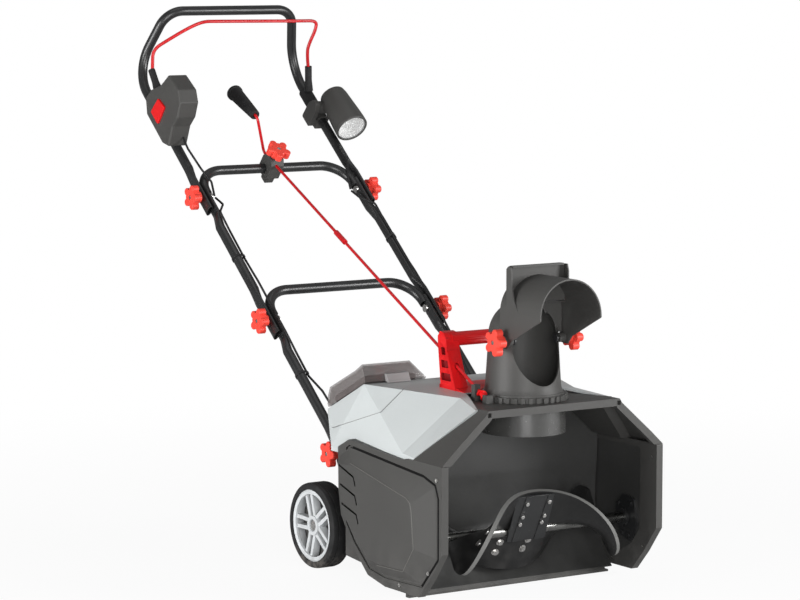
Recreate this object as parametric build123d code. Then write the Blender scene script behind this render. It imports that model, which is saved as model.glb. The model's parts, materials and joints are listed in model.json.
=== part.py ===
"""Cordless single-stage snow blower, built piece by piece.

Frame: X runs across the machine (plus X is the operator's left), Y runs back
towards the operator, Z is up.  The origin lies on the ground, in the middle of
the scraper bar's edge.  All sizes are millimetres.  "Right" and "left" are the
operator's, so the right side is at minus X.
"""
from build123d import *
import os
from math import asin, cos, degrees, pi, radians, sin, sqrt

os.makedirs("parts", exist_ok=True)

# ------------------------------------------------------------ driving sizes
# Housing
OVERALL_WIDTH = 500.0        # over the flanges of the two side covers
RIM_WIDTH = 14.4             # width of a side cover's rim
PANEL_RISE = 12.0            # the side cover's raised panel
FRONT_Y = -140.0             # front face of the housing
SHOULDER_Z = 264.0           # where the hood's shoulders meet the side covers
HOOD_TOP = 358.0             # upper face of the hood
HOOD_WALL = 4.0
MOUTH_RIM = 14.0             # front lip of the hood, seen from ahead
SCOOP_WALL = 3.0
RUN = 0.3                    # clearance between parts that move past each other
FIT = 0.1                    # radial clearance of pins and shafts in their bores

# Auger
AUGER_Y, AUGER_Z = -40.0, 110.0
AUGER_R = 85.0
SCOOP_R = 93.0
SHAFT_R = 10.0
BLADE_HALF = 145.0           # half width of one arched blade
BLADE_TOP_ANGLE = 67.0       # angle of the middle of the first blade
BLADE_FOOT_ANGLE = -58.0     # angle of its two feet
BLADE_THICK = 8.0
BLADE_FLARE = 0.2            # how much further the blades reach at their feet
BLADE_ROUND = 24.0           # rounding of the blades' outer corners
ROUND_SPAN = 0.22            # share of the sweep's last radians that it takes

# Chute
CHUTE_Y = -37.0              # axis of the discharge chute
COLLAR_R, COLLAR_WALL = 80.0, 3.0
COLLAR_FOOT_Z = 296.0
RING_R = 84.0                # toothed ring that turns the chute
RING_T = 10.0
RING_TEETH = 36
TOOTH_DEPTH = 3.5
CHUTE_BASE_R, CHUTE_TOP_R = 71.0, 65.0
CHUTE_WALL = 3.0
DOME_Z = 478.0               # centre of the chute's round top
PIVOT_Y, PIVOT_Z = -73.0, 472.0
DEFLECTOR_R = 69.0
DEFLECTOR_WALL = 2.6

# Handle tubes
TUBE_R, TUBE_WALL = 10.0, 1.6
HANDLE_SLOPE = 40.2          # degrees above the ground
HANDLE_X = 192.0             # half width of the handle, at the tube's axis
HANDLE_Y0, HANDLE_Z0 = 463.4, 372.0     # a point of the tube's axis, where t = 0
T_LOW_END, T_MIDDLE_END, T_UPPER_END = -246.0, 88.0, 440.0
T_MIDDLE_KNOB, T_UPPER_KNOB = 129.8, 481.7
T_MIDDLE_BAR, T_UPPER_BAR = 208.0, 556.6
T_BEND = 862.9
GRIP_BAR = (152.7, 1053.1, 1058.4)      # corner of the grip bar's axis

# Wheels
WHEEL_Y, WHEEL_R = 326.9, 83.2
WHEEL_OUT, WHEEL_WIDTH = 243.5, 45.0
RIM_R = 70.0
AXLE_R = 6.0

# Crank
ROD_R = 3.0
ROD_FOOT = (-90.1, CHUTE_Y, 370.0)      # point of the rod beside the ring
ROD_GUIDE = (0.0, 888.5, 750.0)         # point of the rod in its bracket
CRANK_ARM = (-31.0, -27.0, 75.0)        # from the rod's axis to the grip's
WORM_R, WORM_CORE_R = 8.5, 5.0
WORM_LENGTH = 22.0
GRIP_LENGTH = 105.0

INNER = OVERALL_WIDTH / 2 - RIM_WIDTH
OUTER = OVERALL_WIDTH / 2
SLOPE_C, SLOPE_S = cos(radians(HANDLE_SLOPE)), sin(radians(HANDLE_SLOPE))


# ------------------------------------------------------------------ helpers
def yz(x):
    """Work plane across the machine at x; local axes are Y and Z."""
    return Plane(origin=(x, 0, 0), x_dir=(0, 1, 0), z_dir=(1, 0, 0))


def xz(y):
    """Work plane at y facing the front; local axes are X and Z."""
    return Plane(origin=(0, y, 0), x_dir=(1, 0, 0), z_dir=(0, -1, 0))


def xy(z):
    """Level work plane at height z."""
    return Plane.XY.offset(z)


def tn(x):
    """Work plane at x along the handle; local axes are t and n."""
    return Plane(origin=(x, HANDLE_Y0, HANDLE_Z0), x_dir=(0, SLOPE_C, SLOPE_S), z_dir=(1, 0, 0))


def on_handle(x, t, n=0.0):
    """Point t along the handle's slope and n square to it, at x."""
    return Vector(x, HANDLE_Y0 + t * SLOPE_C - n * SLOPE_S, HANDLE_Z0 + t * SLOPE_S + n * SLOPE_C)


def outline(points, rounding=0.0):
    """Closed polygon face, with its corners rounded."""
    face = make_face(Polyline(*points, close=True))
    return fillet(face.vertices(), rounding) if rounding else face


def slab(plane, points, depth, rounding=0.0):
    """Polygon on a plane, extruded along the plane's normal."""
    return extrude(plane * outline(points, rounding), amount=depth, dir=plane.z_dir)


def disc(plane, radius, depth, at=(0, 0), bore=0.0):
    """Round plate or ring on a plane."""
    face = Pos(*at) * Circle(radius)
    if bore:
        face -= Pos(*at) * Circle(bore)
    return extrude(plane * face, amount=depth, dir=plane.z_dir)


def bar(start, end, radius, bore=0.0):
    """Round bar or tube from one point to another."""
    start, end = Vector(*start), Vector(*end)
    plane = Plane(origin=start, z_dir=end - start)
    return disc(plane, radius, (end - start).length, bore=bore)


def pipe(points, radius, bend, wall=0.0):
    """Round tube along a polyline whose corners are bent to a radius."""
    path = FilletPolyline(*points, radius=bend)
    plane = Plane(origin=path @ 0, z_dir=path % 0)
    section = Circle(radius)
    if wall:
        section -= Circle(radius - wall)
    return sweep(plane * section, path=path)


def box(x, y, z):
    """Box from three (low, high) pairs."""
    size = [high - low for low, high in (x, y, z)]
    centre = [(low + high) / 2 for low, high in (x, y, z)]
    return Pos(*centre) * Box(*size)


def mirrored(shape):
    """Copy on the other side of the machine."""
    return mirror(shape, about=Plane.YZ)


def facets(corners, faces):
    """Closed solid from flat faces given by the names of their corners."""
    return Solid(Shell([Face(Wire.make_polygon([corners[name] for name in face])) for face in faces]))


def group(*shapes):
    """Several separate solids that share one node."""
    return Compound(children=[solid for shape in shapes for solid in shape.solids()])


PARTS = {}


def keep(name, shape):
    """Hold a finished piece under its node name."""
    PARTS[name] = shape


# ------------------------------------------------------------- side covers
PLATE = [
    (FRONT_Y, SHOULDER_Z), (FRONT_Y, 103), (-101, 52), (-65, 13), (50, 13), (110, 25), (166, 73),
    (205, 126), (214, 173), (215, 254), (176, 273), (-8, 260), (-24, SHOULDER_Z),
]
PANEL_FOOT = [
    (172, 258), (-80, 237), (-117, 226), (-126, 204), (-126, 94), (-74, 38), (50, 34), (104, 42),
    (156, 84), (197, 134), (207, 240),
]
PANEL_FACE = [
    (153, 228), (-37, 191), (-50, 184), (-53, 171), (-60, 104), (-26, 59), (60, 56), (98, 62),
    (142, 95), (183, 140), (196, 224),
]
HOOK_SLOTS, HOOK_DEPTH = 3, 3.0
COVER_SCREWS = [(-124, 238), (-97, 63), (-1, 25)]
SCREW_HOLE_R = 2.2


# -------------------------------------------------------------------- hood
HOOD_OUTLINE = [
    (-OUTER, 150), (-OUTER, SHOULDER_Z), (-222, 290), (-176, 330), (-153, 350), (-148, HOOD_TOP),
    (148, HOOD_TOP), (153, 350), (176, 330), (222, 290), (OUTER, SHOULDER_Z), (OUTER, 150),
]
LINER_DROP = 15.0            # the part under the grey cover lies this much lower
BORDER_TOP, BORDER_FOOT = (-108.0, 354.0), (-46.0, 268.0)
HOOD_REAR = 62.0
TONGUE = [(-151, -110), (-92, 17), (-92, HOOD_REAR), (92, HOOD_REAR), (92, 17), (151, -110)]
BAR_HOLE_X, BAR_HOLE_Z, BAR_HOLE = 146.0, 350.0, 8.0
LIP_DEPTH = 12.0


def arch(inset):
    """Cross-section of the hood's arch, moved inwards, above the side covers."""
    face = outline(HOOD_OUTLINE)
    if inset:
        face = offset(face, -inset, kind=Kind.INTERSECTION)
    return face - Pos(0, SHOULDER_Z - 100) * Rectangle(2 * OUTER + 100, 200)


def arch_length(front, rear, outer, inner):
    """One length of the hood's arch between two insets."""
    ring = arch(outer) - arch(inner)
    return extrude(xz(front) * ring, amount=rear - front, dir=(0, 1, 0))


def behind_border(shift):
    """Everything behind the grey cover's front border, moved back by shift."""
    (top_y, top_z), (foot_y, foot_z) = BORDER_TOP, BORDER_FOOT
    run = (foot_y - top_y) / (top_z - foot_z)
    high, low = top_z + 100, foot_z - 100
    points = [(top_y + shift - 100 * run, high), (foot_y + shift + 100 * run, low), (600, low), (600, high)]
    return slab(yz(-OUTER), points, 2 * OUTER)


def worm_posts():
    """Two bearing posts that hold the crank rod's lower end on the hood."""
    posts = box((-101, -86), (-64, -51), (HOOD_TOP - HOOD_WALL, 373))
    return posts + box((-98, -85.2), (-21, -10), (HOOD_TOP - HOOD_WALL, 388))


def hood():
    """Black hood: thick front lip, shoulders, top plate and the lower liner."""
    lip = arch_length(FRONT_Y, FRONT_Y + LIP_DEPTH, 0, MOUTH_RIM)
    front = arch_length(FRONT_Y + LIP_DEPTH, HOOD_REAR, 0, HOOD_WALL) - behind_border(0)
    step = arch_length(FRONT_Y + LIP_DEPTH, HOOD_REAR, 0, LINER_DROP + HOOD_WALL)
    step = (step & behind_border(-HOOD_WALL)) - behind_border(0)
    liner = arch_length(FRONT_Y + LIP_DEPTH, HOOD_REAR, LINER_DROP, LINER_DROP + HOOD_WALL)
    liner &= behind_border(-HOOD_WALL)
    tongue = slab(xy(HOOD_TOP - HOOD_WALL), TONGUE, HOOD_WALL)
    for side in (-1, 1):
        web = slab(xy(HOOD_TOP - LINER_DROP - 2), [(side * 92, 17), (side * 88, 17), (side * 88, HOOD_REAR),
                                                   (side * 92, HOOD_REAR)], LINER_DROP)
        tongue += web
    body = lip + front + step + liner + tongue + worm_posts()
    for side in (-1, 1):
        hole = Pos(side * BAR_HOLE_X, BAR_HOLE_Z) * Rectangle(BAR_HOLE, BAR_HOLE)
        body -= extrude(xz(FRONT_Y - 1) * hole, amount=LIP_DEPTH - 2, dir=(0, 1, 0))
    body -= bar(rod_point(-22), rod_point(60), ROD_R + FIT)
    body -= bar(rod_point(-WORM_LENGTH / 2 - 3), rod_point(WORM_LENGTH / 2 + 3), WORM_R + 2 * RUN)
    return body - disc(xy(SHOULDER_Z), COLLAR_R, 200, at=(0, CHUTE_Y))


def chute_collar():
    """Round collar through the hood, in which the chute turns."""
    collar = disc(xy(COLLAR_FOOT_Z), COLLAR_R, HOOD_TOP - COLLAR_FOOT_Z, (0, CHUTE_Y), COLLAR_R - COLLAR_WALL)
    ledge = disc(xy(HOOD_TOP - 30), COLLAR_R, 3, (0, CHUTE_Y), COLLAR_R - 8)
    return collar + ledge


# ------------------------------------------------------------------- scoop
SCOOP_FOOT = (-2, 8)
SCOOP_KNEE = (38, 60)
RECESS = [(-88, 252), (-88, 95), (-62, 62), (-20, 40), (30, 45), (56, 100), (56, 210), (52, 252)]
RECESS_DEPTH = 5.0
CHEEK_T = 3.0
POCKET_MARGIN = 6.0


def scoop():
    """Curved floor and back of the snow intake, up to the chute's collar."""
    path = ThreePointArc(SCOOP_FOOT, SCOOP_KNEE, (AUGER_Y + SCOOP_R, AUGER_Z))
    path += ThreePointArc((AUGER_Y + SCOOP_R, AUGER_Z), (54, 160), (50, 210))
    path += Line((50, 210), (45, 345))
    sheet = extrude(yz(-INNER) * trace(path, SCOOP_WALL), amount=2 * INNER, dir=(1, 0, 0))
    room = extrude(xz(-10) * arch(LINER_DROP + HOOD_WALL), amount=100, dir=(0, 1, 0))
    room += box((-INNER, INNER), (-10, 90), (0, SHOULDER_Z))
    return sheet & room


def scoop_cheeks():
    """Inner side walls of the intake, let into the side covers."""
    cheek = slab(yz(INNER + RECESS_DEPTH - CHEEK_T), RECESS, CHEEK_T, rounding=8)
    cheek -= disc(yz(INNER), SHAFT_R + FIT, 20, at=(AUGER_Y, AUGER_Z))
    return mirrored(cheek) + cheek


def scraper_bar():
    """Replaceable wear strip that rests on the ground."""
    strip = slab(yz(-INNER + 1), [(-8, 0), (3, 0), (3, 8), (-5, 10), (-8, 5)], 2 * INNER - 14)
    strip -= box((INNER - 20, INNER), (-10, 5), (4, 12))
    return strip - scoop()


def belt_pocket():
    """Two-step pocket in a side cover; the belt runs in the right-hand one."""
    seen = offset(outline(RECESS), -5) + Pos(125, 150) * Rectangle(160, 260)
    wide = offset(outline(PANEL_FOOT), -20) & seen
    pocket = extrude(yz(INNER) * wide, amount=RIM_WIDTH + 2.6, dir=(1, 0, 0))
    deep = offset(outline(PANEL_FACE), -POCKET_MARGIN)
    return pocket + extrude(yz(INNER) * deep, amount=RIM_WIDTH + PANEL_RISE - 3, dir=(1, 0, 0))


def side_cover():
    """Moulded cover of the left side, with its raised, facetted panel."""
    cover = slab(yz(INNER), PLATE, RIM_WIDTH, rounding=3)
    groove = offset(outline(PANEL_FOOT), 5) - outline(PANEL_FOOT)
    groove_cut = extrude(yz(OUTER - 3.5) * groove, amount=10, dir=(1, 0, 0))
    cover -= groove_cut & box((0, 2 * OUTER), (FRONT_Y, 186), (0, SHOULDER_Z))
    foot, face = yz(OUTER - 1) * outline(PANEL_FOOT), yz(OUTER + PANEL_RISE) * outline(PANEL_FACE)
    cover += loft([foot, face], ruled=True)
    cover -= slab(yz(INNER), RECESS, RECESS_DEPTH, rounding=8)
    cover -= belt_pocket()
    for step in range(HOOK_SLOTS):
        corner_y, corner_z = 142 - 5 * step, 207 - 35 * step
        line = Polyline((214, corner_z + 23), (corner_y, corner_z), (corner_y - 7, corner_z - 17))
        cover -= extrude(yz(OUTER + PANEL_RISE - HOOK_DEPTH) * trace(line, 4), amount=10, dir=(1, 0, 0))
    for y, z in COVER_SCREWS:
        cover -= disc(yz(INNER), SCREW_HOLE_R, 2 * RIM_WIDTH, at=(y, z))
    return cover


def housing_screws():
    """Pan-head screws that hold both side covers."""
    screws = []
    for y, z in COVER_SCREWS:
        slot = box((OUTER + 1, OUTER + 3), (y - 3, y + 3), (z - 0.6, z + 0.6))
        head = disc(yz(OUTER), 3.8, 2, at=(y, z)) - slot
        screws.append(head + disc(yz(INNER + 1), SCREW_HOLE_R, RIM_WIDTH, at=(y, z)))
    return group(*screws, *[mirrored(screw) for screw in screws])


# ------------------------------------------------------------------- auger
BLADE_STEPS = 28
PADDLE_ANGLE = 69.0
PADDLE_WIDTH, PADDLE_REACH, PADDLE_THICK = 86.0, (-15.0, 80.0), 4.0
STRIP_X, STRIP_WIDTH, STRIP_LEAN, STRIP_THICK = (-26.0, 24.0), 13.0, 10.0, 1.5
BEARING_PLATE = [(-72, 150), (-38, 156), (-14, 128), (-30, 74), (-66, 66), (-82, 104)]
BEARING_T = 4.0
PADDLE_BOLTS = [(-24, 22), (-22, 38), (-18, 65), (25, 22), (28, 36), (32, 65)]
BOLT_HEAD_R, BOLT_HEAD_T = 4.2, 3.0
SHAFT_HALF = 258.0
PULLEY_X, PULLEY_W = 245.0, 11.0
AUGER_PULLEY_R, MOTOR_PULLEY_R = 32.0, 16.0
MOTOR_Y, MOTOR_Z = 128.0, 168.0


def around_auger(x, radius, angle):
    """Point about the auger's axis; the angle runs up from the front."""
    turn = radians(angle)
    return Vector(x, AUGER_Y - radius * cos(turn), AUGER_Z + radius * sin(turn))


def blade_radius(u):
    """Outer radius of a blade at its sweep angle u; its corners are rounded off."""
    past = max(0.0, abs(u) - pi / 2 + ROUND_SPAN) / ROUND_SPAN
    return AUGER_R - BLADE_ROUND * (1 - sqrt(1 - min(1.0, past) ** 2))


def auger_blade():
    """Arched ribbon that sweeps snow from both ends to the middle."""
    span = BLADE_TOP_ANGLE - BLADE_FOOT_ANGLE
    outer, inner = [], []
    for step in range(BLADE_STEPS + 1):
        u = pi * (step / BLADE_STEPS - 0.5)
        x = BLADE_HALF * sin(u) * (1 + BLADE_FLARE * sin(u) ** 4)
        angle = BLADE_FOOT_ANGLE + span * cos(u)
        outer.append(around_auger(x, blade_radius(u), angle))
        inner.append(around_auger(x, SHAFT_R - 0.5, angle))
    ribbon = Face.make_surface_from_curves(Spline(*outer), Spline(*inner))
    return thicken(ribbon, BLADE_THICK / 2, both=True) - auger_shaft()


def auger_blades():
    """Both arched blades, half a turn apart."""
    blade = auger_blade()
    return group(blade, blade.rotate(Axis((0, AUGER_Y, AUGER_Z), (1, 0, 0)), 180))


def auger_shaft():
    """Steel shaft across the intake."""
    return bar((-SHAFT_HALF + 5, AUGER_Y, AUGER_Z), (SHAFT_HALF - 12, AUGER_Y, AUGER_Z), SHAFT_R)


def paddle_plane(turned):
    """Back face of a paddle, which lies against the shaft's front."""
    ahead = around_auger(0, 1, turned - 90) - Vector(0, AUGER_Y, AUGER_Z)
    return Plane(origin=(0, AUGER_Y, AUGER_Z), x_dir=(1, 0, 0), z_dir=ahead).offset(SHAFT_R)


def paddle(turned):
    """Flat throwing paddle in the middle, with two raised steel strips."""
    plane = paddle_plane(turned)
    low, high = PADDLE_REACH
    face = Pos(0, (low + high) / 2) * Rectangle(PADDLE_WIDTH, high - low)
    plate = extrude(plane * face, amount=PADDLE_THICK)
    for x in STRIP_X:
        half, lean = STRIP_WIDTH / 2, STRIP_LEAN
        strip = outline([(x - half, low), (x + half, low), (x + half + lean, high), (x - half + lean, high)])
        plate += extrude(plane.offset(PADDLE_THICK) * strip, amount=STRIP_THICK)
    return plate


def auger_paddles(blades):
    """Both paddles, seated on the blades and the shaft."""
    rest = group(auger_shaft(), *blades.solids())
    plates = [paddle(turned) - rest for turned in (PADDLE_ANGLE, PADDLE_ANGLE + 180)]
    return group(*[plate.solids().sort_by(SortBy.VOLUME)[-1] for plate in plates])


def paddle_bolts(turned):
    """Bolt heads of one paddle, seated on its two strips."""
    seat = paddle_plane(turned).offset(PADDLE_THICK + STRIP_THICK)
    heads = Sketch() + [Pos(x, y) * RegularPolygon(BOLT_HEAD_R, 6) for x, y in PADDLE_BOLTS]
    return extrude(seat * heads, amount=BOLT_HEAD_T)


def bearing_plates():
    """Flanged bearing plates at both ends of the auger, with their bolts."""
    inner = INNER + RECESS_DEPTH - CHEEK_T
    plate = slab(yz(inner - BEARING_T), BEARING_PLATE, BEARING_T, rounding=8)
    plate += disc(yz(inner - BEARING_T - 5), SHAFT_R + 7, 6, at=(AUGER_Y, AUGER_Z))
    plate -= disc(yz(inner - 30), SHAFT_R + FIT, 60, at=(AUGER_Y, AUGER_Z))
    for y, z in [(-63, 140), (-24, 136), (-57, 77), (-36, 80)]:
        plate += disc(yz(inner - BEARING_T - 3), 4, 4, at=(y, z))
    return group(mirrored(plate), plate)


def pulley(y, z, radius, bore):
    """Grooved belt pulley in the right-hand cover."""
    half = PULLEY_W / 2
    profile = outline([(0, -half), (radius + 2, -half), (radius + 2, -half + 1.5), (radius, -half + 2),
                       (radius, half - 2), (radius + 2, half - 1.5), (radius + 2, half), (0, half)])
    wheel = revolve(Plane.XZ * profile, axis=Axis.Z)
    wheel = Plane(origin=(-PULLEY_X - 2, y, z), x_dir=(0, 1, 0), z_dir=(1, 0, 0)) * wheel
    return wheel - disc(yz(-PULLEY_X - 30), bore, 60, at=(y, z))


def drive_belt():
    """Belt from the motor to the auger, inside the right-hand cover."""
    half = PULLEY_W / 2 - 2.5
    rings = []
    for extra in (RUN, RUN + 2.5):
        big = Pos(AUGER_Y, AUGER_Z) * Circle(AUGER_PULLEY_R + extra)
        small = Pos(MOTOR_Y, MOTOR_Z) * Circle(MOTOR_PULLEY_R + extra)
        rings.append(make_hull(big.edges() + small.edges()))
    return extrude(yz(-PULLEY_X - 2 - half) * (rings[1] - rings[0]), amount=2 * half, dir=(1, 0, 0))


# ------------------------------------------------------ grey cover and base
COVER_CORNERS = {
    "ridge": (205, 194, 372), "seam": (244, 0, 270), "front": (130, -20, 366), "rear": (205, 326, 308),
    "foot": (240, 256, 248), "cheek": (248, -46, 268), "nose": (155, -108, 356),
}
COVER_FOOT_Z = 240.0
COVER_FACES = [
    ("ridge", "front", "front'", "ridge'"), ("front", "nose", "nose'", "front'"),
    ("rear", "ridge", "ridge'", "rear'"), ("foot", "rear", "rear'", "foot'"),
    ("cheek", "cheek'", "nose'", "nose"), ("cheek", "cheek low", "cheek low'", "cheek'"),
    ("foot", "foot'", "foot low'", "foot low"),
    ("cheek low", "seam low", "foot low", "foot low'", "seam low'", "cheek low'"),
]
COVER_SIDES = [
    ("ridge", "seam", "front"), ("front", "seam", "cheek"), ("front", "cheek", "nose"),
    ("ridge", "foot", "seam"), ("ridge", "rear", "foot"), ("seam", "foot", "foot low", "seam low"),
    ("cheek", "seam", "seam low", "cheek low"),
]
COVER_WALL = 3.5
BATTERY_X = (-197.0, -72.0)
REAR_SLOPE = degrees(asin((372 - 308) / sqrt((326 - 194) ** 2 + (372 - 308) ** 2)))
BAY_RUN, BAY_DEPTH = (14.0, 132.0), 34.0
BATTERY_RISE = 25.0
BASE_HALF, BASE_WALL = 185.0, 3.0
BASE = [(56, 30), (300, 52), (352, 74), (352, 100), (258, COVER_FOOT_Z), (56, COVER_FOOT_Z)]
BASE_STEP_Y = 212.0


def faceted(inset, foot_z):
    """Closed faceted body of the grey cover, moved inwards."""
    corners = {}
    for name, (x, y, z) in COVER_CORNERS.items():
        forward = 8 * inset if name in ("nose", "cheek") else 0
        toward = inset if y < 100 else -inset
        corners[name] = (x - inset, y + toward - forward, z - inset - forward * 0.1)
    for name in ("seam", "foot", "cheek"):
        corners[name + " low"] = (*corners[name][:2], foot_z)
    corners.update({name + "'": (-x, y, z) for name, (x, y, z) in list(corners.items())})
    sides = [tuple(name + "'" for name in face) for face in COVER_SIDES]
    return facets(corners, COVER_FACES + COVER_SIDES + sides)


def rear_slope(x):
    """Work plane square to the rear slope, through its upper edge, at x."""
    turn = radians(REAR_SLOPE)
    return Plane(origin=(x, 194, 372), x_dir=(0, cos(turn), -sin(turn)), z_dir=(1, 0, 0))


def on_slope(low, high, x_range):
    """Block given along the rear slope, square to it and across."""
    face = outline([(low[0], low[1]), (high[0], low[1]), (high[0], high[1]), (low[0], high[1])])
    return extrude(rear_slope(x_range[0]) * face, amount=x_range[1] - x_range[0], dir=(1, 0, 0))


def shell_cover():
    """Pale faceted cover over the motor, with the battery bay's opening."""
    shell = faceted(0, COVER_FOOT_Z) - faceted(COVER_WALL, COVER_FOOT_Z - 10)
    shell &= behind_border(0)
    plate = slab(yz(0), PLATE, 2 * OUTER, rounding=3)
    shell -= plate & box((INNER - 1, 2 * OUTER), (-300, 300), (0, 400))
    shell -= mirrored(plate & box((INNER - 1, 2 * OUTER), (-300, 300), (0, 400)))
    tongue = TONGUE[:2] + [(-92, 46), (92, 46)] + TONGUE[4:]
    shell -= slab(xy(300), [(-170, -160)] + tongue + [(170, -160)], 200)
    shell -= disc(xy(300), RING_R + 1, 200, at=(0, CHUTE_Y))
    shell -= on_slope((BAY_RUN[0], -40), (BAY_RUN[1], 40), BATTERY_X)
    return shell


def base_pan():
    """Lower tub behind the intake; it carries the motor and the axle."""
    def tub(inset):
        room = offset(outline(BASE), -inset, kind=Kind.INTERSECTION) if inset else outline(BASE)
        narrow = extrude(yz(-BASE_HALF + inset) * room, amount=2 * (BASE_HALF - inset), dir=(1, 0, 0))
        wide = extrude(yz(-INNER + inset) * room, amount=2 * (INNER - inset), dir=(1, 0, 0))
        wide &= box((-INNER, INNER), (0, BASE_STEP_Y - inset), (0, 400))
        return narrow + wide
    cavity = tub(BASE_WALL)
    cavity += box((-INNER + BASE_WALL, INNER - BASE_WALL), (50, BASE_STEP_Y - BASE_WALL), (60, 260))
    cavity += box((-BASE_HALF + BASE_WALL, BASE_HALF - BASE_WALL), (200, 254), (200, 260))
    pan = tub(0) - cavity
    pan -= disc(yz(-INNER - 5), 22, 20, at=(MOTOR_Y, MOTOR_Z))
    return pan - bar((-300, WHEEL_Y, WHEEL_R), (300, WHEEL_Y, WHEEL_R), AXLE_R)


def battery_tray():
    """Tray under the rear slope that the battery slides into."""
    (start, end), (x0, x1) = BAY_RUN, BATTERY_X
    tray = on_slope((start, -BAY_DEPTH), (end, -0.5), (x0, x1))
    return tray - on_slope((start + 2.5, -BAY_DEPTH + 2.5), (end - 2.5, 5), (x0 + 2.5, x1 - 2.5))


def battery():
    """Battery pack with a ribbed grip on its back."""
    (start, end), (x0, x1) = BAY_RUN, BATTERY_X
    pack = on_slope((start + 3, -BAY_DEPTH + 2.5), (end - 3, BATTERY_RISE - 6), (x0 + 3, x1 - 3))
    pack += on_slope((start + 14, BATTERY_RISE - 6), (end - 26, BATTERY_RISE), (x0 + 16, x1 - 16))
    for rib in range(5):
        along = start + 24 + 16 * rib
        pack -= on_slope((along, BATTERY_RISE - 3), (along + 6, BATTERY_RISE + 1), (x0 + 26, x1 - 26))
    return pack


LID = [(327, 311), (324, 335), (317, 352), (226, 394), (201, 409), (190, 376)]
LID_X = (-205.0, -63.0)
LID_WALL = 2.5
LID_HINGE = (330.0, 313.0)
LATCH_HINGE = (180.5, 374.7)


def lid_body(inset):
    """Outer or inner form of the battery cover."""
    side = offset(outline(LID), -inset, kind=Kind.INTERSECTION) if inset else outline(LID)
    form = extrude(yz(LID_X[0] + inset) * side, amount=LID_X[1] - LID_X[0] - 2 * inset, dir=(1, 0, 0))
    slant = [(-63 - inset, 360), (-63 - inset, 372), (-100 - inset, 411), (-60, 430), (0, 430), (0, 360)]
    return form - extrude(xz(150) * outline(slant), amount=250, dir=(0, 1, 0))


def battery_cover():
    """Smoked clear lid over the battery, hinged along its rear edge."""
    lid = lid_body(0) - lid_body(LID_WALL)
    lid -= on_slope((-20, -80), (200, RUN), (-230, -40))
    lid -= on_slope((6, -5), (132, 12), (LID_X[0] + LID_WALL, LID_X[1] - 6))
    return lid - bar((-250, *LID_HINGE), (0, *LID_HINGE), 6)


def cover_latch():
    """Latch at the lid's lower front edge."""
    y, z = LATCH_HINGE
    side = outline([(y - 2.5, z), (y + 8, z), (y + 12.5, z + 14.5), (y + 5, z + 14.5)])
    side += Pos(y, z) * Circle(2.7)
    return extrude(yz(-160) * side, amount=50, dir=(1, 0, 0))


def carry_handle():
    """Red carrying handle with louvred posts and a round grip."""
    post = [(45, 364), (50, 376), (76, 440), (80, 462), (88, 474), (100, 476), (108, 466), (107, 450),
            (98, 376), (98, 364)]
    handle = slab(yz(66), post, 29, rounding=3)
    for rib in range(3):
        low = 384 + 24 * rib
        slot = [(62 + 9 * rib, low), (94, low), (96, low + 14), (66 + 9 * rib, low + 14)]
        handle -= slab(yz(89), slot, 8, rounding=2)
        handle -= slab(yz(66), slot, 6, rounding=2)
    handle += mirrored(handle)
    handle += bar((-80, 92, 460), (80, 92, 460), 13.5)
    base = slab(xy(362), [(-92, 20), (92, 20), (96, 100), (-96, 100)], 14)
    top = [(15, 362), (17, 366), (45, 372), (60, 376), (100, 376), (100, 355), (15, 355)]
    base &= slab(yz(-100), top, 200)
    handle += base
    handle -= faceted(0, COVER_FOOT_Z)
    handle -= disc(xy(HOOD_TOP), RING_R + 1, 60, at=(0, CHUTE_Y))
    handle -= bar(rod_point(40), rod_point(200), 5)
    return handle - box((-110, 110), (0, 46), (300, HOOD_TOP))


def motor():
    """Electric motor with its shaft into the belt pocket."""
    can = bar((-INNER + BASE_WALL, MOTOR_Y, MOTOR_Z), (-110, MOTOR_Y, MOTOR_Z), 38)
    can += bar((-110, MOTOR_Y, MOTOR_Z), (-95, MOTOR_Y, MOTOR_Z), 30)
    return can - bar((-260, MOTOR_Y, MOTOR_Z), (-150, MOTOR_Y, MOTOR_Z), 5 + FIT)


def motor_pulley():
    """Motor shaft with its belt pulley."""
    shaft = bar((-PULLEY_X - 8, MOTOR_Y, MOTOR_Z), (-150 - RUN, MOTOR_Y, MOTOR_Z), 5)
    return pulley(MOTOR_Y, MOTOR_Z, MOTOR_PULLEY_R, 5) + shaft


# ------------------------------------------------------------------- chute
def ring_teeth():
    """Toothed ring at the foot of the chute."""
    ring = Circle(RING_R)
    root, tip = RING_R - TOOTH_DEPTH, RING_R + 2
    gap = outline([(root, -2.4), (tip, -4.9), (tip, 4.9), (root, 2.4)])
    for tooth in range(RING_TEETH):
        ring -= Rot(0, 0, 360 / RING_TEETH * tooth) * gap
    return extrude(Plane((0, CHUTE_Y, HOOD_TOP + RUN)) * ring, amount=RING_T)


def chute_form(inset):
    """Tapering body with a round top, moved inwards."""
    base_z = HOOD_TOP - 27 + RUN
    foot = COLLAR_R - COLLAR_WALL - RUN
    profile = Polyline((0, base_z - inset), (foot - inset, base_z - inset), (foot - inset, 366),
                       (CHUTE_BASE_R - inset, 382), (CHUTE_TOP_R - inset, DOME_Z))
    profile += ThreePointArc((CHUTE_TOP_R - inset, DOME_Z),
                             ((CHUTE_TOP_R - inset) * cos(pi / 4), DOME_Z + (CHUTE_TOP_R - inset) * sin(pi / 4)),
                             (0, DOME_Z + CHUTE_TOP_R - inset))
    profile += Line((0, DOME_Z + CHUTE_TOP_R - inset), (0, base_z - inset))
    return Pos(0, CHUTE_Y) * revolve(Plane.XZ * make_face(profile), axis=Axis.Z)


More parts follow.
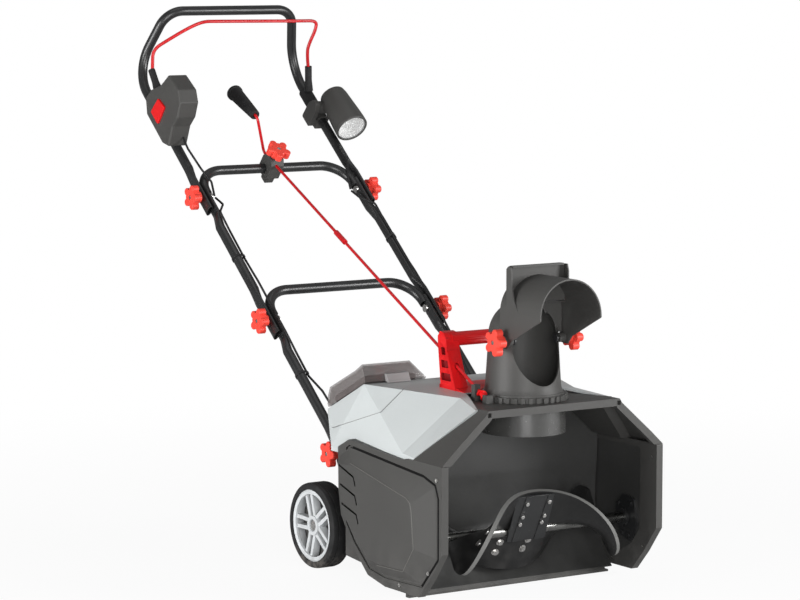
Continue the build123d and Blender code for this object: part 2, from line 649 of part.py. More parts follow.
def chute():
    """Discharge chute: toothed ring, tapering body and open front."""
    body = chute_form(0) + ring_teeth()
    body += disc(xy(HOOD_TOP + RUN + RING_T), 77, 4, at=(0, CHUTE_Y))
    for side in (-1, 1):
        reach = DEFLECTOR_R - DEFLECTOR_WALL - RUN
        body += bar((side * 40, PIVOT_Y, PIVOT_Z), (side * reach, PIVOT_Y, PIVOT_Z), 9)
    body -= chute_form(CHUTE_WALL)
    window = Pos(0, 458) * Ellipse(53, 70) + Pos(0, 500) * Rectangle(106, 84)
    cut = extrude(xz(-160) * window, amount=160 + CHUTE_Y, dir=(0, 1, 0))
    body -= cut & box((-53, 53), (-160, CHUTE_Y), (380, 520))
    body -= box((-100, 100), (-160, -60), (DOME_Z + 14, 600))
    body -= box((-52, 52), (-160, -60), (DOME_Z, 600))
    return body - bar((-100, PIVOT_Y, PIVOT_Z), (100, PIVOT_Y, PIVOT_Z), BOLT_R + FIT)


SNOUT_Z = 525.0              # centre of the deflector's arch
SNOUT_SIDE = [(-60, 462), (-84, 460), (-98, 476), (-188, 520), (-184, 600), (-60, 600)]
PLATE_FACE_Y, PLATE_THICK = -83.0, 3.0
PLATE_TOP, PLATE_FOOT = 613.0, 543.5
PLATE_RIGHT, PLATE_LEFT = -69.0, 61.0
FLANGE = [(-80, 607), (-84, 611), (-93, 611), (-97, 598), (-97, 575), (-104, 552), (-118, 530), (-118, 505),
          (-84, 462), (-60, 462), (-60, 520), (-80, 540)]
POCKET_FLOOR = 553.0         # the pocket beside the arch ends here


def arch_face(radius):
    """Section of the deflector: a half circle above straight sides."""
    return Pos(0, SNOUT_Z) * Circle(radius) + Pos(0, SNOUT_Z - 50) * Rectangle(2 * radius, 100)


def deflector():
    """Snow deflector: arched snout, two arms, and the grip plate that closes its back."""
    inner = DEFLECTOR_R - DEFLECTOR_WALL
    room = extrude(xz(-190) * arch_face(inner), amount=107, dir=(0, 1, 0))
    snout = extrude(xz(-190) * (arch_face(DEFLECTOR_R) - arch_face(inner)), amount=140, dir=(0, 1, 0))
    form = snout & slab(yz(-100), SNOUT_SIDE, 200, rounding=4)
    width, height = PLATE_LEFT - PLATE_RIGHT, PLATE_TOP - PLATE_FOOT
    plate = Pos((PLATE_LEFT + PLATE_RIGHT) / 2, (PLATE_TOP + PLATE_FOOT) / 2) * Rectangle(width, height)
    plate = fillet(plate.vertices().group_by(Axis.Y)[-1], 10)
    form += extrude(xz(PLATE_FACE_Y) * plate, amount=PLATE_THICK, dir=(0, 1, 0))
    form += slab(yz(PLATE_RIGHT), FLANGE, DEFLECTOR_WALL)
    trim = slab(yz(PLATE_LEFT - DEFLECTOR_WALL), FLANGE, DEFLECTOR_WALL)
    trim += box((PLATE_RIGHT, -50), (-97, PLATE_FACE_Y), (SNOUT_Z, POCKET_FLOOR))
    trim += box((PLATE_RIGHT + 8, PLATE_LEFT - 8), (-91, PLATE_FACE_Y), (PLATE_TOP - 3.5, PLATE_TOP))
    form += (trim & box((-100, 100), (-120, PLATE_FACE_Y), (SNOUT_Z, PLATE_TOP))) - room
    for side in (-1, 1):
        form += bar((side * inner, PIVOT_Y, PIVOT_Z), (side * (DEFLECTOR_R + 3), PIVOT_Y, PIVOT_Z), 11)
    return form - bar((-100, PIVOT_Y, PIVOT_Z), (100, PIVOT_Y, PIVOT_Z), BOLT_R + FIT)


# ------------------------------------------------------------- star knobs
BOLT_R = 4.0
KNOB_R, KNOB_T, KNOB_LOBES = 26.0, 15.0, 5
KNOB_NECK = 8.0
BOLT_REACH = 14.0            # how far a bolt enters its knob


def star_knob(seat, direction):
    """Five-lobed knob whose neck starts a running gap off its seat."""
    star = Circle(KNOB_R * 0.66)
    for lobe in range(KNOB_LOBES):
        star += Rot(0, 0, 360 / KNOB_LOBES * lobe + 90) * Pos(KNOB_R * 0.70, 0) * Circle(KNOB_R * 0.30)
    plane = Plane(origin=seat, z_dir=direction)
    head = extrude(Pos(0, 0, KNOB_NECK) * star, amount=KNOB_T)
    head = chamfer(head.edges().group_by(Axis.Z)[-1], 1.5)
    knob = head + Pos(0, 0, RUN) * extrude(Circle(12), amount=KNOB_NECK)
    knob -= extrude(Circle(BOLT_R + FIT), amount=BOLT_REACH + 1)
    knob -= Pos(0, 0, KNOB_NECK + KNOB_T - 3) * extrude(Circle(4.5), amount=4)
    return plane * knob


def side_knob(side, seat_x, y, z):
    """Star knob on the outside of the machine; side is plus or minus one."""
    return star_knob((side * seat_x, y, z), (side, 0, 0))


def cross_bolt(side, inner_x, seat_x, y, z):
    """Bolt from the inside of a joint into its knob."""
    bolt = bar((side * inner_x, y, z), (side * (seat_x + BOLT_REACH), y, z), BOLT_R)
    return bolt + bar((side * (inner_x - 4), y, z), (side * inner_x, y, z), 8)


# ----------------------------------------------------------------- handle
JOINT_X = 190.0              # plane where two pressed tube ends meet
PRESS_HALF_T, PRESS_HALF_H = 6.0, 13.0
INNER_END_X = JOINT_X - PRESS_HALF_T
OUTER_END_X = JOINT_X + RUN + PRESS_HALF_T
KNOB_SEAT_X = JOINT_X + RUN + 2 * PRESS_HALF_T
BEND_R = 60.0


def across(t, x=0.0, n=0.0):
    """Work plane square to the handle's slope."""
    return Plane(origin=on_handle(x, t, n), x_dir=(1, 0, 0), z_dir=(0, SLOPE_C, SLOPE_S))


def pressed(side, x, t_range, thin):
    """Length of tube that is pressed flat."""
    face = Ellipse(PRESS_HALF_T - thin, PRESS_HALF_H - thin)
    return extrude(across(t_range[0], side * x) * face, amount=t_range[1] - t_range[0])


def taper(side, t_flat, x_flat, t_round, thin):
    """Change from the pressed section to the round tube."""
    flat = across(t_flat, side * x_flat) * Ellipse(PRESS_HALF_T - thin, PRESS_HALF_H - thin)
    round_end = across(t_round, side * HANDLE_X) * Circle(TUBE_R - thin)
    return loft([flat, round_end])


def leg(side, t_range, thin):
    """Straight round length of a leg."""
    return bar(on_handle(side * HANDLE_X, t_range[0]), on_handle(side * HANDLE_X, t_range[1]), TUBE_R - thin)


def outer_end(t_low, t_bar, thin):
    """Lower ends of a section that stand outside the section below."""
    overrun = 1 if thin else 0
    flat_x = OUTER_END_X
    ends = [pressed(side, flat_x, (t_low - overrun, t_bar - 28), thin) for side in (-1, 1)]
    ends += [taper(side, t_bar - 28, flat_x, t_bar + 7, thin) for side in (-1, 1)]
    return ends


def cross_bow(t_bar, thin):
    """Pressed lengths and bent cross tube at the head of a section."""
    flat_x = INNER_END_X
    shapes = [pressed(side, flat_x, (t_bar - 126, t_bar - 50), thin) for side in (-1, 1)]
    shapes += [taper(side, t_bar - 126, flat_x, t_bar - 164, thin) for side in (-1, 1)]
    x = JOINT_X - TUBE_R
    t_end = t_bar - BEND_R - 6
    path = [on_handle(sx, t) for sx, t in ((-x, t_end), (-x, t_bar), (x, t_bar), (x, t_end))]
    shapes.append(pipe(path, TUBE_R - thin, BEND_R))
    return shapes


def fused(shapes):
    """All shapes joined into one solid."""
    body = shapes[0]
    for shape in shapes[1:]:
        body += shape
    return body


def bolt_holes(t, n=0.0):
    """Holes through both legs for a joint's bolts."""
    centre = on_handle(0, t, n)
    return bar((-300, centre.Y, centre.Z), (300, centre.Y, centre.Z), BOLT_R + FIT)


def lower_frame():
    """Bottom section of the handle, bolted to the base."""
    def form(thin):
        overrun = 1 if thin else 0
        flat_x = OUTER_END_X
        shapes = [pressed(side, flat_x, (T_LOW_END - overrun, -192), thin) for side in (-1, 1)]
        shapes += [taper(side, -192, flat_x, -158, thin) for side in (-1, 1)]
        shapes += [leg(side, (-158, T_MIDDLE_BAR - 164), thin) for side in (-1, 1)]
        return fused(shapes + cross_bow(T_MIDDLE_BAR, thin))
    frame = form(0) - form(TUBE_WALL)
    return frame - bolt_holes(T_MIDDLE_KNOB) - bolt_holes(*LOW_BOLT)


def middle_frame():
    """Middle section of the handle, with the upper cross tube."""
    def form(thin):
        shapes = outer_end(T_MIDDLE_END, T_MIDDLE_BAR, thin)
        shapes += [leg(side, (T_MIDDLE_BAR + 7, T_UPPER_BAR - 164), thin) for side in (-1, 1)]
        return fused(shapes + cross_bow(T_UPPER_BAR, thin))
    frame = form(0) - form(TUBE_WALL)
    return frame - bolt_holes(T_MIDDLE_KNOB) - bolt_holes(T_UPPER_KNOB)


def upper_frame():
    """Top section of the handle, bent up to the grip bar."""
    x, y, z = GRIP_BAR

    def form(thin):
        shapes = outer_end(T_UPPER_END, T_UPPER_BAR, thin)
        start = T_UPPER_BAR + 7
        path = [on_handle(-HANDLE_X, start), on_handle(-HANDLE_X, T_BEND), (-x, y, z), (x, y, z),
                on_handle(HANDLE_X, T_BEND), on_handle(HANDLE_X, start)]
        shapes.append(pipe(path, TUBE_R - thin, GRIP_BENDS))
        return fused(shapes)
    return form(0) - form(TUBE_WALL) - bolt_holes(T_UPPER_KNOB)


GRIP_BENDS = (80, 48, 48, 80)
LOW_BOLT = (-220.0, -6.0)
EAR = [(238, 150), (300, 176), (318, 206), (318, 234), (300, 246), (262, 240), (238, 200)]


def handle_ears():
    """Steel ears that hold the handle's legs on the base."""
    ear = slab(yz(BASE_HALF), EAR, JOINT_X - BASE_HALF, rounding=6)
    ear -= bolt_holes(*LOW_BOLT)
    for y, z in ((250, 170), (252, 205)):
        ear += disc(yz(JOINT_X), 5, 2.5, at=(y, z))
    return group(mirrored(ear), ear)


def knob_bolts():
    """Through-bolts of the handle's six knobs."""
    bolts = []
    for t, n, inner in ((*LOW_BOLT, BASE_HALF), (T_MIDDLE_KNOB, 0, INNER_END_X - PRESS_HALF_T),
                        (T_UPPER_KNOB, 0, INNER_END_X - PRESS_HALF_T)):
        point = on_handle(0, t, n)
        bolts += [cross_bolt(side, inner, KNOB_SEAT_X, point.Y, point.Z) for side in (-1, 1)]
    return group(*bolts)


def handle_knob(side, t, n=0.0):
    """Knob of one handle joint."""
    point = on_handle(0, t, n)
    return side_knob(side, KNOB_SEAT_X, point.Y, point.Z)


# -------------------------------------------------------------- crank rod

def rod_direction():
    """Unit vector up along the crank rod."""
    return (Vector(*ROD_GUIDE) - Vector(*ROD_FOOT)).normalized()


def rod_point(along):
    """Point of the rod's axis, measured from its foot."""
    return Vector(*ROD_FOOT) + rod_direction() * along


def rod_length():
    """Distance from the rod's foot to its bracket."""
    return (Vector(*ROD_GUIDE) - Vector(*ROD_FOOT)).length


def rod_bracket():
    """Clamp on the upper cross tube that guides the rod."""
    side = [(536, -12), (548, -17), (568, -17), (577, -8), (577, 20), (566, 35), (546, 35), (536, 24)]
    block = slab(tn(-15), side, 30, rounding=3)
    lug = slab(tn(-9), [(542, -30), (562, -30), (566, -12), (540, -12)], 18, rounding=3)
    centre = on_handle(0, T_UPPER_BAR)
    block = block + lug - bar((-40, centre.Y, centre.Z), (40, centre.Y, centre.Z), TUBE_R)
    block -= bar(on_handle(0, 556, 28), on_handle(0, 556, 60), BOLT_R)
    return block - bar(rod_point(rod_length() - 70), rod_point(rod_length() + 70), ROD_R + FIT)


def bracket_knob():
    """Knob on top of the rod's bracket."""
    return star_knob(on_handle(0, 556, 35), on_handle(0, 0, 1) - on_handle(0, 0, 0))


def bracket_bolt():
    """Stud of the bracket's knob."""
    return bar(on_handle(0, 556, 28), on_handle(0, 556, 35 + BOLT_REACH), BOLT_R)


def crank_rod():
    """Red rod from the chute's worm up to the crank, bent at its top end."""
    end = rod_length()
    arm = Vector(*CRANK_ARM)
    bend = rod_point(end + 34)
    path = [rod_point(-21), bend, bend + arm, rod_point(end + 34 + GRIP_LENGTH - 8) + arm]
    rod = pipe(path, ROD_R, 10)
    middle = end * 0.64
    return rod + bar(rod_point(middle - 22), rod_point(middle + 22), 5.5)


def crank_worm():
    """Worm that drives the toothed ring."""
    half = WORM_LENGTH / 2
    pitch = 2 * pi * RING_R / RING_TEETH / rod_direction().Y
    core = Pos(0, 0, -half - 2) * extrude(Circle(WORM_CORE_R), amount=WORM_LENGTH + 4)
    turns = Helix(pitch, WORM_LENGTH - 2, WORM_CORE_R - 0.4, center=(0, 0, -half + 1), lefthand=True)
    tooth = Plane(origin=turns @ 0, x_dir=(1, 0, 0), z_dir=turns % 0)
    depth = WORM_R - WORM_CORE_R + 0.4
    profile = outline([(0, -1.7), (depth, -0.9), (depth, 0.9), (0, 1.7)])
    thread = sweep(tooth * profile, path=turns, is_frenet=True)
    worm = core + thread - Pos(0, 0, -half - 4) * extrude(Circle(ROD_R), amount=WORM_LENGTH + 8)
    lead_in = (WORM_LENGTH / 2 - 1) / pitch * 360
    plane = Plane(origin=rod_point(0), x_dir=(1, 0, 0), z_dir=rod_direction())
    return plane * Rot(0, 0, lead_in) * worm


def crank_grip():
    """Tapering grip that turns on the end of the crank."""
    start = rod_point(rod_length() + 34) + Vector(*CRANK_ARM)
    plane = Plane(origin=start + rod_direction() * 12, z_dir=rod_direction())
    length = GRIP_LENGTH
    profile = outline([(ROD_R + FIT, 0), (9.5, 0), (11, 10), (13, 45), (17, length - 8), (14, length),
                       (0, length), (0, length - 14), (ROD_R + FIT, length - 14)])
    return plane * revolve(Plane.XZ * profile, axis=Axis.Z)


# ------------------------------------------- switch box, bail and cables
SWITCH = [(762, 19), (756, 47), (730, 85), (718, 124), (667, 129), (643, 114), (633, 82), (637, 53), (624, 9),
          (649, -4), (736, -4)]
SWITCH_X = (-218.0, -174.0)
BUTTON = [(716, 60), (683, 65), (683, 17), (722, 17)]
BUTTON_TRAVEL = 4.0
BAIL_END_L, BAIL_END_R = (-188, 1056, 930), (186, 1040, 930)
BAIL_R = 3.0
BALL_R = 4.0


def tube_room():
    """Space taken by the right-hand leg of the upper section."""
    return bar(on_handle(-HANDLE_X, 560), on_handle(-HANDLE_X, T_BEND - 40), TUBE_R)


def switch_box():
    """Housing of the main switch on the right-hand leg."""
    body = slab(tn(SWITCH_X[0]), SWITCH, SWITCH_X[1] - SWITCH_X[0], rounding=5)
    body = fillet(body.faces().sort_by(Axis.X)[0].edges() + body.faces().sort_by(Axis.X)[-1].edges(), 4)
    room = offset(outline(BUTTON, 4), RUN)
    body -= extrude(tn(SWITCH_X[0] - 1) * room, amount=BUTTON_TRAVEL + 9, dir=(1, 0, 0))
    return body - tube_room()


def switch_button():
    """Safety button on the switch box's outer side."""
    button = extrude(tn(SWITCH_X[0] - 4) * outline(BUTTON, 4), amount=7.5, dir=(1, 0, 0))
    return chamfer(button.edges().group_by(Axis.X)[0], 1)


def bail():
    """Red wire bail that is held against the grip bar to run the machine."""
    path = [BAIL_END_L, (-188, 1066, 965), (-90, 1000, 1038), (180, 1003, 1036), BAIL_END_R]
    wire = pipe(path, BAIL_R, (12, 24, 24))
    return wire + Pos(*BAIL_END_L) * Sphere(BALL_R) + Pos(*BAIL_END_R) * Sphere(BALL_R)


def bail_boots():
    """Ribbed boots below the ends of the bail and the left leg's clamp."""
    boots = []
    for end, foot in ((BAIL_END_L, on_handle(-188, 770, 32)), (BAIL_END_R, on_handle(190, 775, 14))):
        start = Vector(*end)
        axis = (foot - start).normalized()
        plane = Plane(origin=start, z_dir=axis)
        length = (foot - start).length
        outer = outline([(0, -6), (7.5, -6), (7.5, length * 0.5), (10, length), (0, length)])
        mouth = outline([(0, -7), (6.6, -7), (BALL_R, 0), (0, 0)])
        boot = revolve(Plane.XZ * outer, axis=Axis.Z) - revolve(Plane.XZ * mouth, axis=Axis.Z)
        boots.append(plane * (boot - Sphere(BALL_R + RUN)))
    clamp = bar(on_handle(HANDLE_X, 738), on_handle(HANDLE_X, 786), TUBE_R + 4)
    boots[1] = boots[1] + clamp - bar(on_handle(HANDLE_X, 700), on_handle(HANDLE_X, 820), TUBE_R)
    boots[0] = boots[0] - slab(tn(SWITCH_X[0]), SWITCH, SWITCH_X[1] - SWITCH_X[0], rounding=5)
    return group(*boots)


LAMP_X, LAMP_N, LAMP_FRONT_T = 212.0, 48.0, 616.0
LAMP_HINGE = (705.0, 29.0)
LAMP_R = 35.5


def lamp_profile(points):
    """Turned body about the lamp's axis, given as radius and depth."""
    front = on_handle(LAMP_X, LAMP_FRONT_T, LAMP_N)
    plane = Plane(origin=front, z_dir=(0, SLOPE_C, SLOPE_S), x_dir=(1, 0, 0))
    return plane * revolve(Plane.XZ * outline(points), axis=Axis.Z)


def lamp_body():
    """Housing of the work lamp with its pivot disc."""
    body = lamp_profile([(31, 0), (LAMP_R, 0), (LAMP_R, 18), (33, 22), (26, 62), (25, 70), (25, 98),
                         (20, 106),
                         (0, 106), (0, 60), (24, 52), (31, 12)])
    body += disc(tn(170 + RUN), 14, 24, at=LAMP_HINGE)
    body -= lamp_profile([(0, 20), (30, 12), (24, 50), (0, 58)])
    return body - disc(tn(150), BOLT_R + FIT, 40, at=LAMP_HINGE)


def lamp_reflector():
    """Facetted bright bowl in the lamp."""
    return lamp_profile([(31 - FIT, 5), (31 - FIT, 7), (22, 34), (10, 46), (0, 48), (0, 46.5), (9, 44.5),
                         (20.5, 33), (29, 6), (29, 5)])


def lamp_lens():
    """Clear disc in front of the reflector."""
    return lamp_profile([(0, 1), (31, 1), (31, 4), (0, 4)])


def lamp_clamp():
    """Clamp and arm that carry the lamp on the left-hand leg."""
    ring = bar(on_handle(HANDLE_X, 692), on_handle(HANDLE_X, 722), TUBE_R + 4.5)
    lug = slab(tn(182), [(692, -23), (713, -23), (713, -8), (692, -8)], 20, rounding=3)
    arm = slab(tn(160), [(690, -12), (724, -12), (722, 30), (712, 46), (698, 46), (688, 30)], 10, rounding=4)
    arm += slab(tn(160), [(692, -12), (722, -12), (722, 4), (692, 4)], 24)
    clamp = ring + lug + arm - bar(on_handle(HANDLE_X, 640), on_handle(HANDLE_X, 760), TUBE_R)
    return clamp + disc(tn(166), BOLT_R, 16, at=LAMP_HINGE)


CABLE_R = 2.3
CABLE_OVER_HINGE = [(187, 420, 18), (165, 448, 10), (165, 478.7, -1.5)]
CABLE_PAST_HINGE = [(165, 484.7, -1.5), (165, 512, 12), (178, 545, 19)]
CABLE_RIGHT_TOP = [(187, 600, 24), (187, 645, 30)]
CABLE_LEFT_TOP = [(184, 610, 9.9), (184, 688, 9.9)]
CABLE_RIGHT = [(176, -112, 18), (176, -80, 16), (179.5, -30, 5), (181, 30, 8), (187, 78, 18), (187, 222, 18),
               (182, 255, 10), (179.5, 300, 5), (181, 380, 8)]
CABLE_LEFT = [(172, -100, 18), (182, -40, 12), (190, 40, 13), (188, 78, 18), (188, 222, 18), (190, 260, 13),
              (190, 380, 13)]


def cable(side, points):
    """Cable along one leg; each point is a distance out, t along the handle and n square to it."""
    return pipe([on_handle(side * x, t, n) for x, t, n in points], CABLE_R, 12)


def lower_cables():
    """Cables on the fixed sections of the handle, up to the folding joint."""
    right = cable(-1, CABLE_RIGHT + CABLE_OVER_HINGE)
    return group(right, cable(1, CABLE_LEFT + CABLE_OVER_HINGE))


def upper_cables():
    """Cables on the folding section of the handle."""
    right = cable(-1, CABLE_PAST_HINGE + CABLE_RIGHT_TOP)
    right -= slab(tn(SWITCH_X[0]), SWITCH, SWITCH_X[1] - SWITCH_X[0], rounding=5)
    left = cable(1, CABLE_PAST_HINGE + CABLE_LEFT_TOP)
    return group(right, left)


def cable_ties():
    """Straps that hold the cables to the lower sections."""
    ties = []
    for x, side, t, n in ((-179.5, -1, 303, 5), (-179.6, -1, -21, 5), (190, 1, 332, 13)):
        start = on_handle(side * HANDLE_X, t - 2.5)
        plane = Plane(origin=start, x_dir=(1, 0, 0), z_dir=(0, SLOPE_C, SLOPE_S))
        offset_x = x - side * HANDLE_X
        cable = Pos(offset_x, -n) * Circle(CABLE_R + 1.4)
        strap = make_hull(Circle(TUBE_R + 1.4).edges() + cable.edges())
        strap -= make_hull((Circle(TUBE_R).edges() + (Pos(offset_x, -n) * Circle(CABLE_R + 0.4)).edges()))
        ties.append(extrude(plane * strap, amount=5, dir=plane.z_dir))
    return group(*ties)


# ----------------------------------------------------------------- wheels
SPOKES = 5
WHEEL_X = WHEEL_OUT - WHEEL_WIDTH / 2
AXLE_END = WHEEL_OUT - 6


def wheel_rim():
    """Pale wheel with five double spokes, at the origin, turning about Z."""
    half = WHEEL_WIDTH / 2
    band = outline([(RIM_R, -half + 3), (RIM_R, half - 3), (RIM_R - 4, half - 1), (RIM_R - 9, half - 3),
                    (RIM_R - 9, half - 8), (RIM_R - 4, half - 12), (RIM_R - 4, -half + 3)])
    rim = revolve(Plane.XZ * band, axis=Axis.Z)
    hub = Pos(0, 0, -half + 4) * extrude(Circle(19), amount=WHEEL_WIDTH - 8)
    rim += hub
    for spoke in range(SPOKES):
        turn = 360 / SPOKES * spoke
        for side in (-1, 1):
            arm = outline([(14, side * 4), (RIM_R - 5, side * 6), (RIM_R - 5, side * 13), (14, side * 12)])
            rim += Pos(0, 0, half - 22) * extrude(Rot(0, 0, turn) * arm, amount=15)
    rim -= Pos(0, 0, half - 11) * extrude(Circle(12), amount=12)
    return rim - Pos(0, 0, -half) * extrude(Circle(AXLE_R + FIT), amount=WHEEL_WIDTH)


def wheel_tyre():
    """Soft tyre with shallow tread grooves."""
    half = WHEEL_WIDTH / 2
    section = outline([(RIM_R, -half), (WHEEL_R - 5, -half), (WHEEL_R - 1, -half + 3), (WHEEL_R, -half + 8),
                       (WHEEL_R, half - 8), (WHEEL_R - 1, half - 3), (WHEEL_R - 5, half), (RIM_R, half)])
    tyre = revolve(Plane.XZ * section, axis=Axis.Z)
    for z in (-9, 9):
        groove = Circle(WHEEL_R + 1) - Circle(WHEEL_R - 1.5)
        tyre -= Pos(0, 0, z - 1) * extrude(groove, amount=2)
    return tyre


def on_wheel(side, shape):
    """Place a wheel piece on the axle; side is plus or minus one."""
    plane = Plane(origin=(side * WHEEL_X, WHEEL_Y, WHEEL_R), x_dir=(0, 1, 0), z_dir=(side, 0, 0))
    return plane * shape


def axle():
    """Axle through the base, with end caps."""
    rod = bar((-AXLE_END, WHEEL_Y, WHEEL_R), (AXLE_END, WHEEL_Y, WHEEL_R), AXLE_R)
    for side in (-1, 1):
        rod += bar((side * (WHEEL_OUT - 11 + RUN), WHEEL_Y, WHEEL_R), (side * AXLE_END, WHEEL_Y, WHEEL_R), 10)
        hub = WHEEL_OUT - WHEEL_WIDTH + 4 - RUN
        rod += bar((side * BASE_HALF, WHEEL_Y, WHEEL_R), (side * hub, WHEEL_Y, WHEEL_R), 10)
    return rod


# --------------------------------------------------------------- assembly
def build():
    """Make every piece in its place."""
    keep("hood", hood())
    keep("chute_collar", chute_collar())
    keep("scoop", group(scoop(), scoop_cheeks()))
    keep("scraper_bar", scraper_bar())
    cover = side_cover()
    keep("side_cover_left", cover)
    keep("side_cover_right", mirrored(cover))
    keep("housing_screws", housing_screws())
    keep("bearing_plates", bearing_plates())
    keep("auger_shaft", auger_shaft())
    blades = auger_blades()
    keep("auger_blades", blades)
    keep("auger_paddles", auger_paddles(blades))
    keep("paddle_bolts", group(paddle_bolts(PADDLE_ANGLE), paddle_bolts(PADDLE_ANGLE + 180)))
    keep("auger_pulley", pulley(AUGER_Y, AUGER_Z, AUGER_PULLEY_R, SHAFT_R))
    keep("motor", motor())
    keep("motor_pulley", motor_pulley())
    keep("drive_belt", drive_belt())
    keep("base_pan", base_pan())
    keep("shell_cover", shell_cover())
    keep("battery_tray", battery_tray())
    keep("battery", battery())
    keep("battery_cover", battery_cover())
    keep("cover_latch", cover_latch())
    keep("carry_handle", carry_handle())
    keep("chute", chute())
    keep("deflector", deflector())
    keep("handle_ears", handle_ears())
    keep("lower_frame", lower_frame())
    keep("middle_frame", middle_frame())
    keep("upper_frame", upper_frame())
    keep("knob_bolts", group(knob_bolts(), bracket_bolt()))
    for side, name in ((-1, "right"), (1, "left")):
        keep(f"knob_lower_{name}", handle_knob(side, *LOW_BOLT))
        keep(f"knob_middle_{name}", handle_knob(side, T_MIDDLE_KNOB))
        keep(f"knob_upper_{name}", handle_knob(side, T_UPPER_KNOB))
        keep(f"knob_deflector_{name}", side_knob(side, DEFLECTOR_R + 3, PIVOT_Y, PIVOT_Z))
        keep(f"wheel_rim_{name}", on_wheel(side, wheel_rim()))
        keep(f"wheel_tyre_{name}", on_wheel(side, wheel_tyre()))
    pivots = [cross_bolt(side, 50, DEFLECTOR_R + 3, PIVOT_Y, PIVOT_Z) for side in (-1, 1)]
    keep("deflector_bolts", group(*pivots))
    keep("rod_bracket", rod_bracket())
    keep("knob_bracket", bracket_knob())
    keep("crank_rod", crank_rod())
    keep("crank_worm", crank_worm())
    keep("crank_grip", crank_grip())
    keep("switch_box", switch_box())
    keep("switch_button", switch_button())
    keep("bail", bail())
    keep("bail_boots", bail_boots())
    keep("lamp_body", lamp_body())
    keep("lamp_reflector", lamp_reflector())
    keep("lamp_lens", lamp_lens())
    keep("lamp_clamp", lamp_clamp())
    keep("lower_cables", lower_cables())
    keep("upper_cables", upper_cables())
    keep("cable_ties", cable_ties())
    keep("axle", axle())


build()
for node, shape in PARTS.items():
    export_step(shape, os.path.join("parts", node + ".step"))
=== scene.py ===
"""Dresses the snow blower: its finishes, its finer pieces, and the studio around it.

The frame has X to the operator's left, Y back towards the operator, Z up, and
its origin on the ground under the middle of the scraper bar. Forms are shaped
in its millimetres; finishes, the studio and finished pieces are in metres.
"""
import json
import logging
import math
from dataclasses import dataclass
from enum import StrEnum, auto
from functools import cache
from typing import Any, Callable, Union

import bmesh
import bpy
from mathutils import Matrix, Vector
from mathutils.bvhtree import BVHTree


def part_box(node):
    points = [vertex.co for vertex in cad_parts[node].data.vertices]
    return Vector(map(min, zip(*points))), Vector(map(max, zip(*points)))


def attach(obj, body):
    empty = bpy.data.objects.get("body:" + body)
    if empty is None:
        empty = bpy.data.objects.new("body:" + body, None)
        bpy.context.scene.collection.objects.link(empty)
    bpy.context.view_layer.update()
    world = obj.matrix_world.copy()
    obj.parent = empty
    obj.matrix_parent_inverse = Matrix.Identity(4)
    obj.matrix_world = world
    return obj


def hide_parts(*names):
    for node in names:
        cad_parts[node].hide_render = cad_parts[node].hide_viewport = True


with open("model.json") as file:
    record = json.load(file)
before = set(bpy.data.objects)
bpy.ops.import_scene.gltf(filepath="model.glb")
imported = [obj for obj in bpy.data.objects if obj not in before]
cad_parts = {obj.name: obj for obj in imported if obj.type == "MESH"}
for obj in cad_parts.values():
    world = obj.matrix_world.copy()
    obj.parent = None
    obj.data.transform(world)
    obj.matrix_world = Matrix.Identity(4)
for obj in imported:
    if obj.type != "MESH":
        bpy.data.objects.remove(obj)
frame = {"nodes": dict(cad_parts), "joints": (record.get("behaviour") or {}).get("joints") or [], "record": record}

LOG = logging.getLogger("snow_blower")
MM = 0.001  # Metres.
MERGE = 0.001  # Millimetres.
HEXAGON = 6
ROUND_SIDES = 64
CORD_ROUNDNESS = 4
CORD_STEPS = 8
EDGE_RANGE = (0.01, 0.16)
FLAT_ANGLE = 1.0  # Degrees, as the next two.
BEND_ANGLE = 30.0
SHARP_ANGLE = 32.0

Colour = tuple[float, float, float]
Point = tuple[float, float, float]
Corner = tuple[float, float]
Path = tuple[Point, ...]
Outline = tuple[Corner, ...]
Face = bmesh.types.BMFace

WHITE: Colour = (1.0, 1.0, 1.0)
OUTWARDS = {"right": Vector((-1.0, 0.0, 0.0)), "left": Vector((1.0, 0.0, 0.0))}
SIDEWAYS = Vector((1.0, 0.0, 0.0))
BACKWARDS = Vector((0.0, 1.0, 0.0))


class Slot(StrEnum):
    """The record's material slots."""

    BLACK_PLASTIC = auto()
    GREY_PLASTIC = auto()
    RED_PLASTIC = auto()
    BLACK_TUBE = auto()
    RED_METAL = auto()
    STEEL = auto()
    DARK_STEEL = auto()
    WHEEL_PLASTIC = auto()
    TYRE = auto()
    RUBBER = auto()
    SMOKED_COVER = auto()
    BATTERY_PLASTIC = auto()
    LAMP_GLASS = auto()
    REFLECTOR = auto()
    CABLE = auto()


class Look(StrEnum):
    """Finishes of the parts that differ from the rest of their slot."""

    INTAKE_LINER = auto()
    BLADE = auto()
    BLADE_RIM = auto()
    # Painted light: a red lighter than the other red parts, for the knobs.
    KNOB = auto()
    # Painted shade: dark red for the faces inside the carrying handle's louvres.
    LOUVRE = auto()
    # Painted shade: near-black finish for the shaded faces of the side covers' grooves and for the cord along
    # them.
    GROOVE = auto()
    # Painted highlight: lighter plastic for the cord along the edges of the side panels' face.
    CREST = auto()
    DULL_BOLT = auto()
    COLLAR = auto()
    SEAM = auto()
    LATCH = auto()
    REFLECTOR_RIM = auto()
    SHAFT = auto()
    LIGHT_SOURCE = auto()


Dress = Union[Slot, Look]


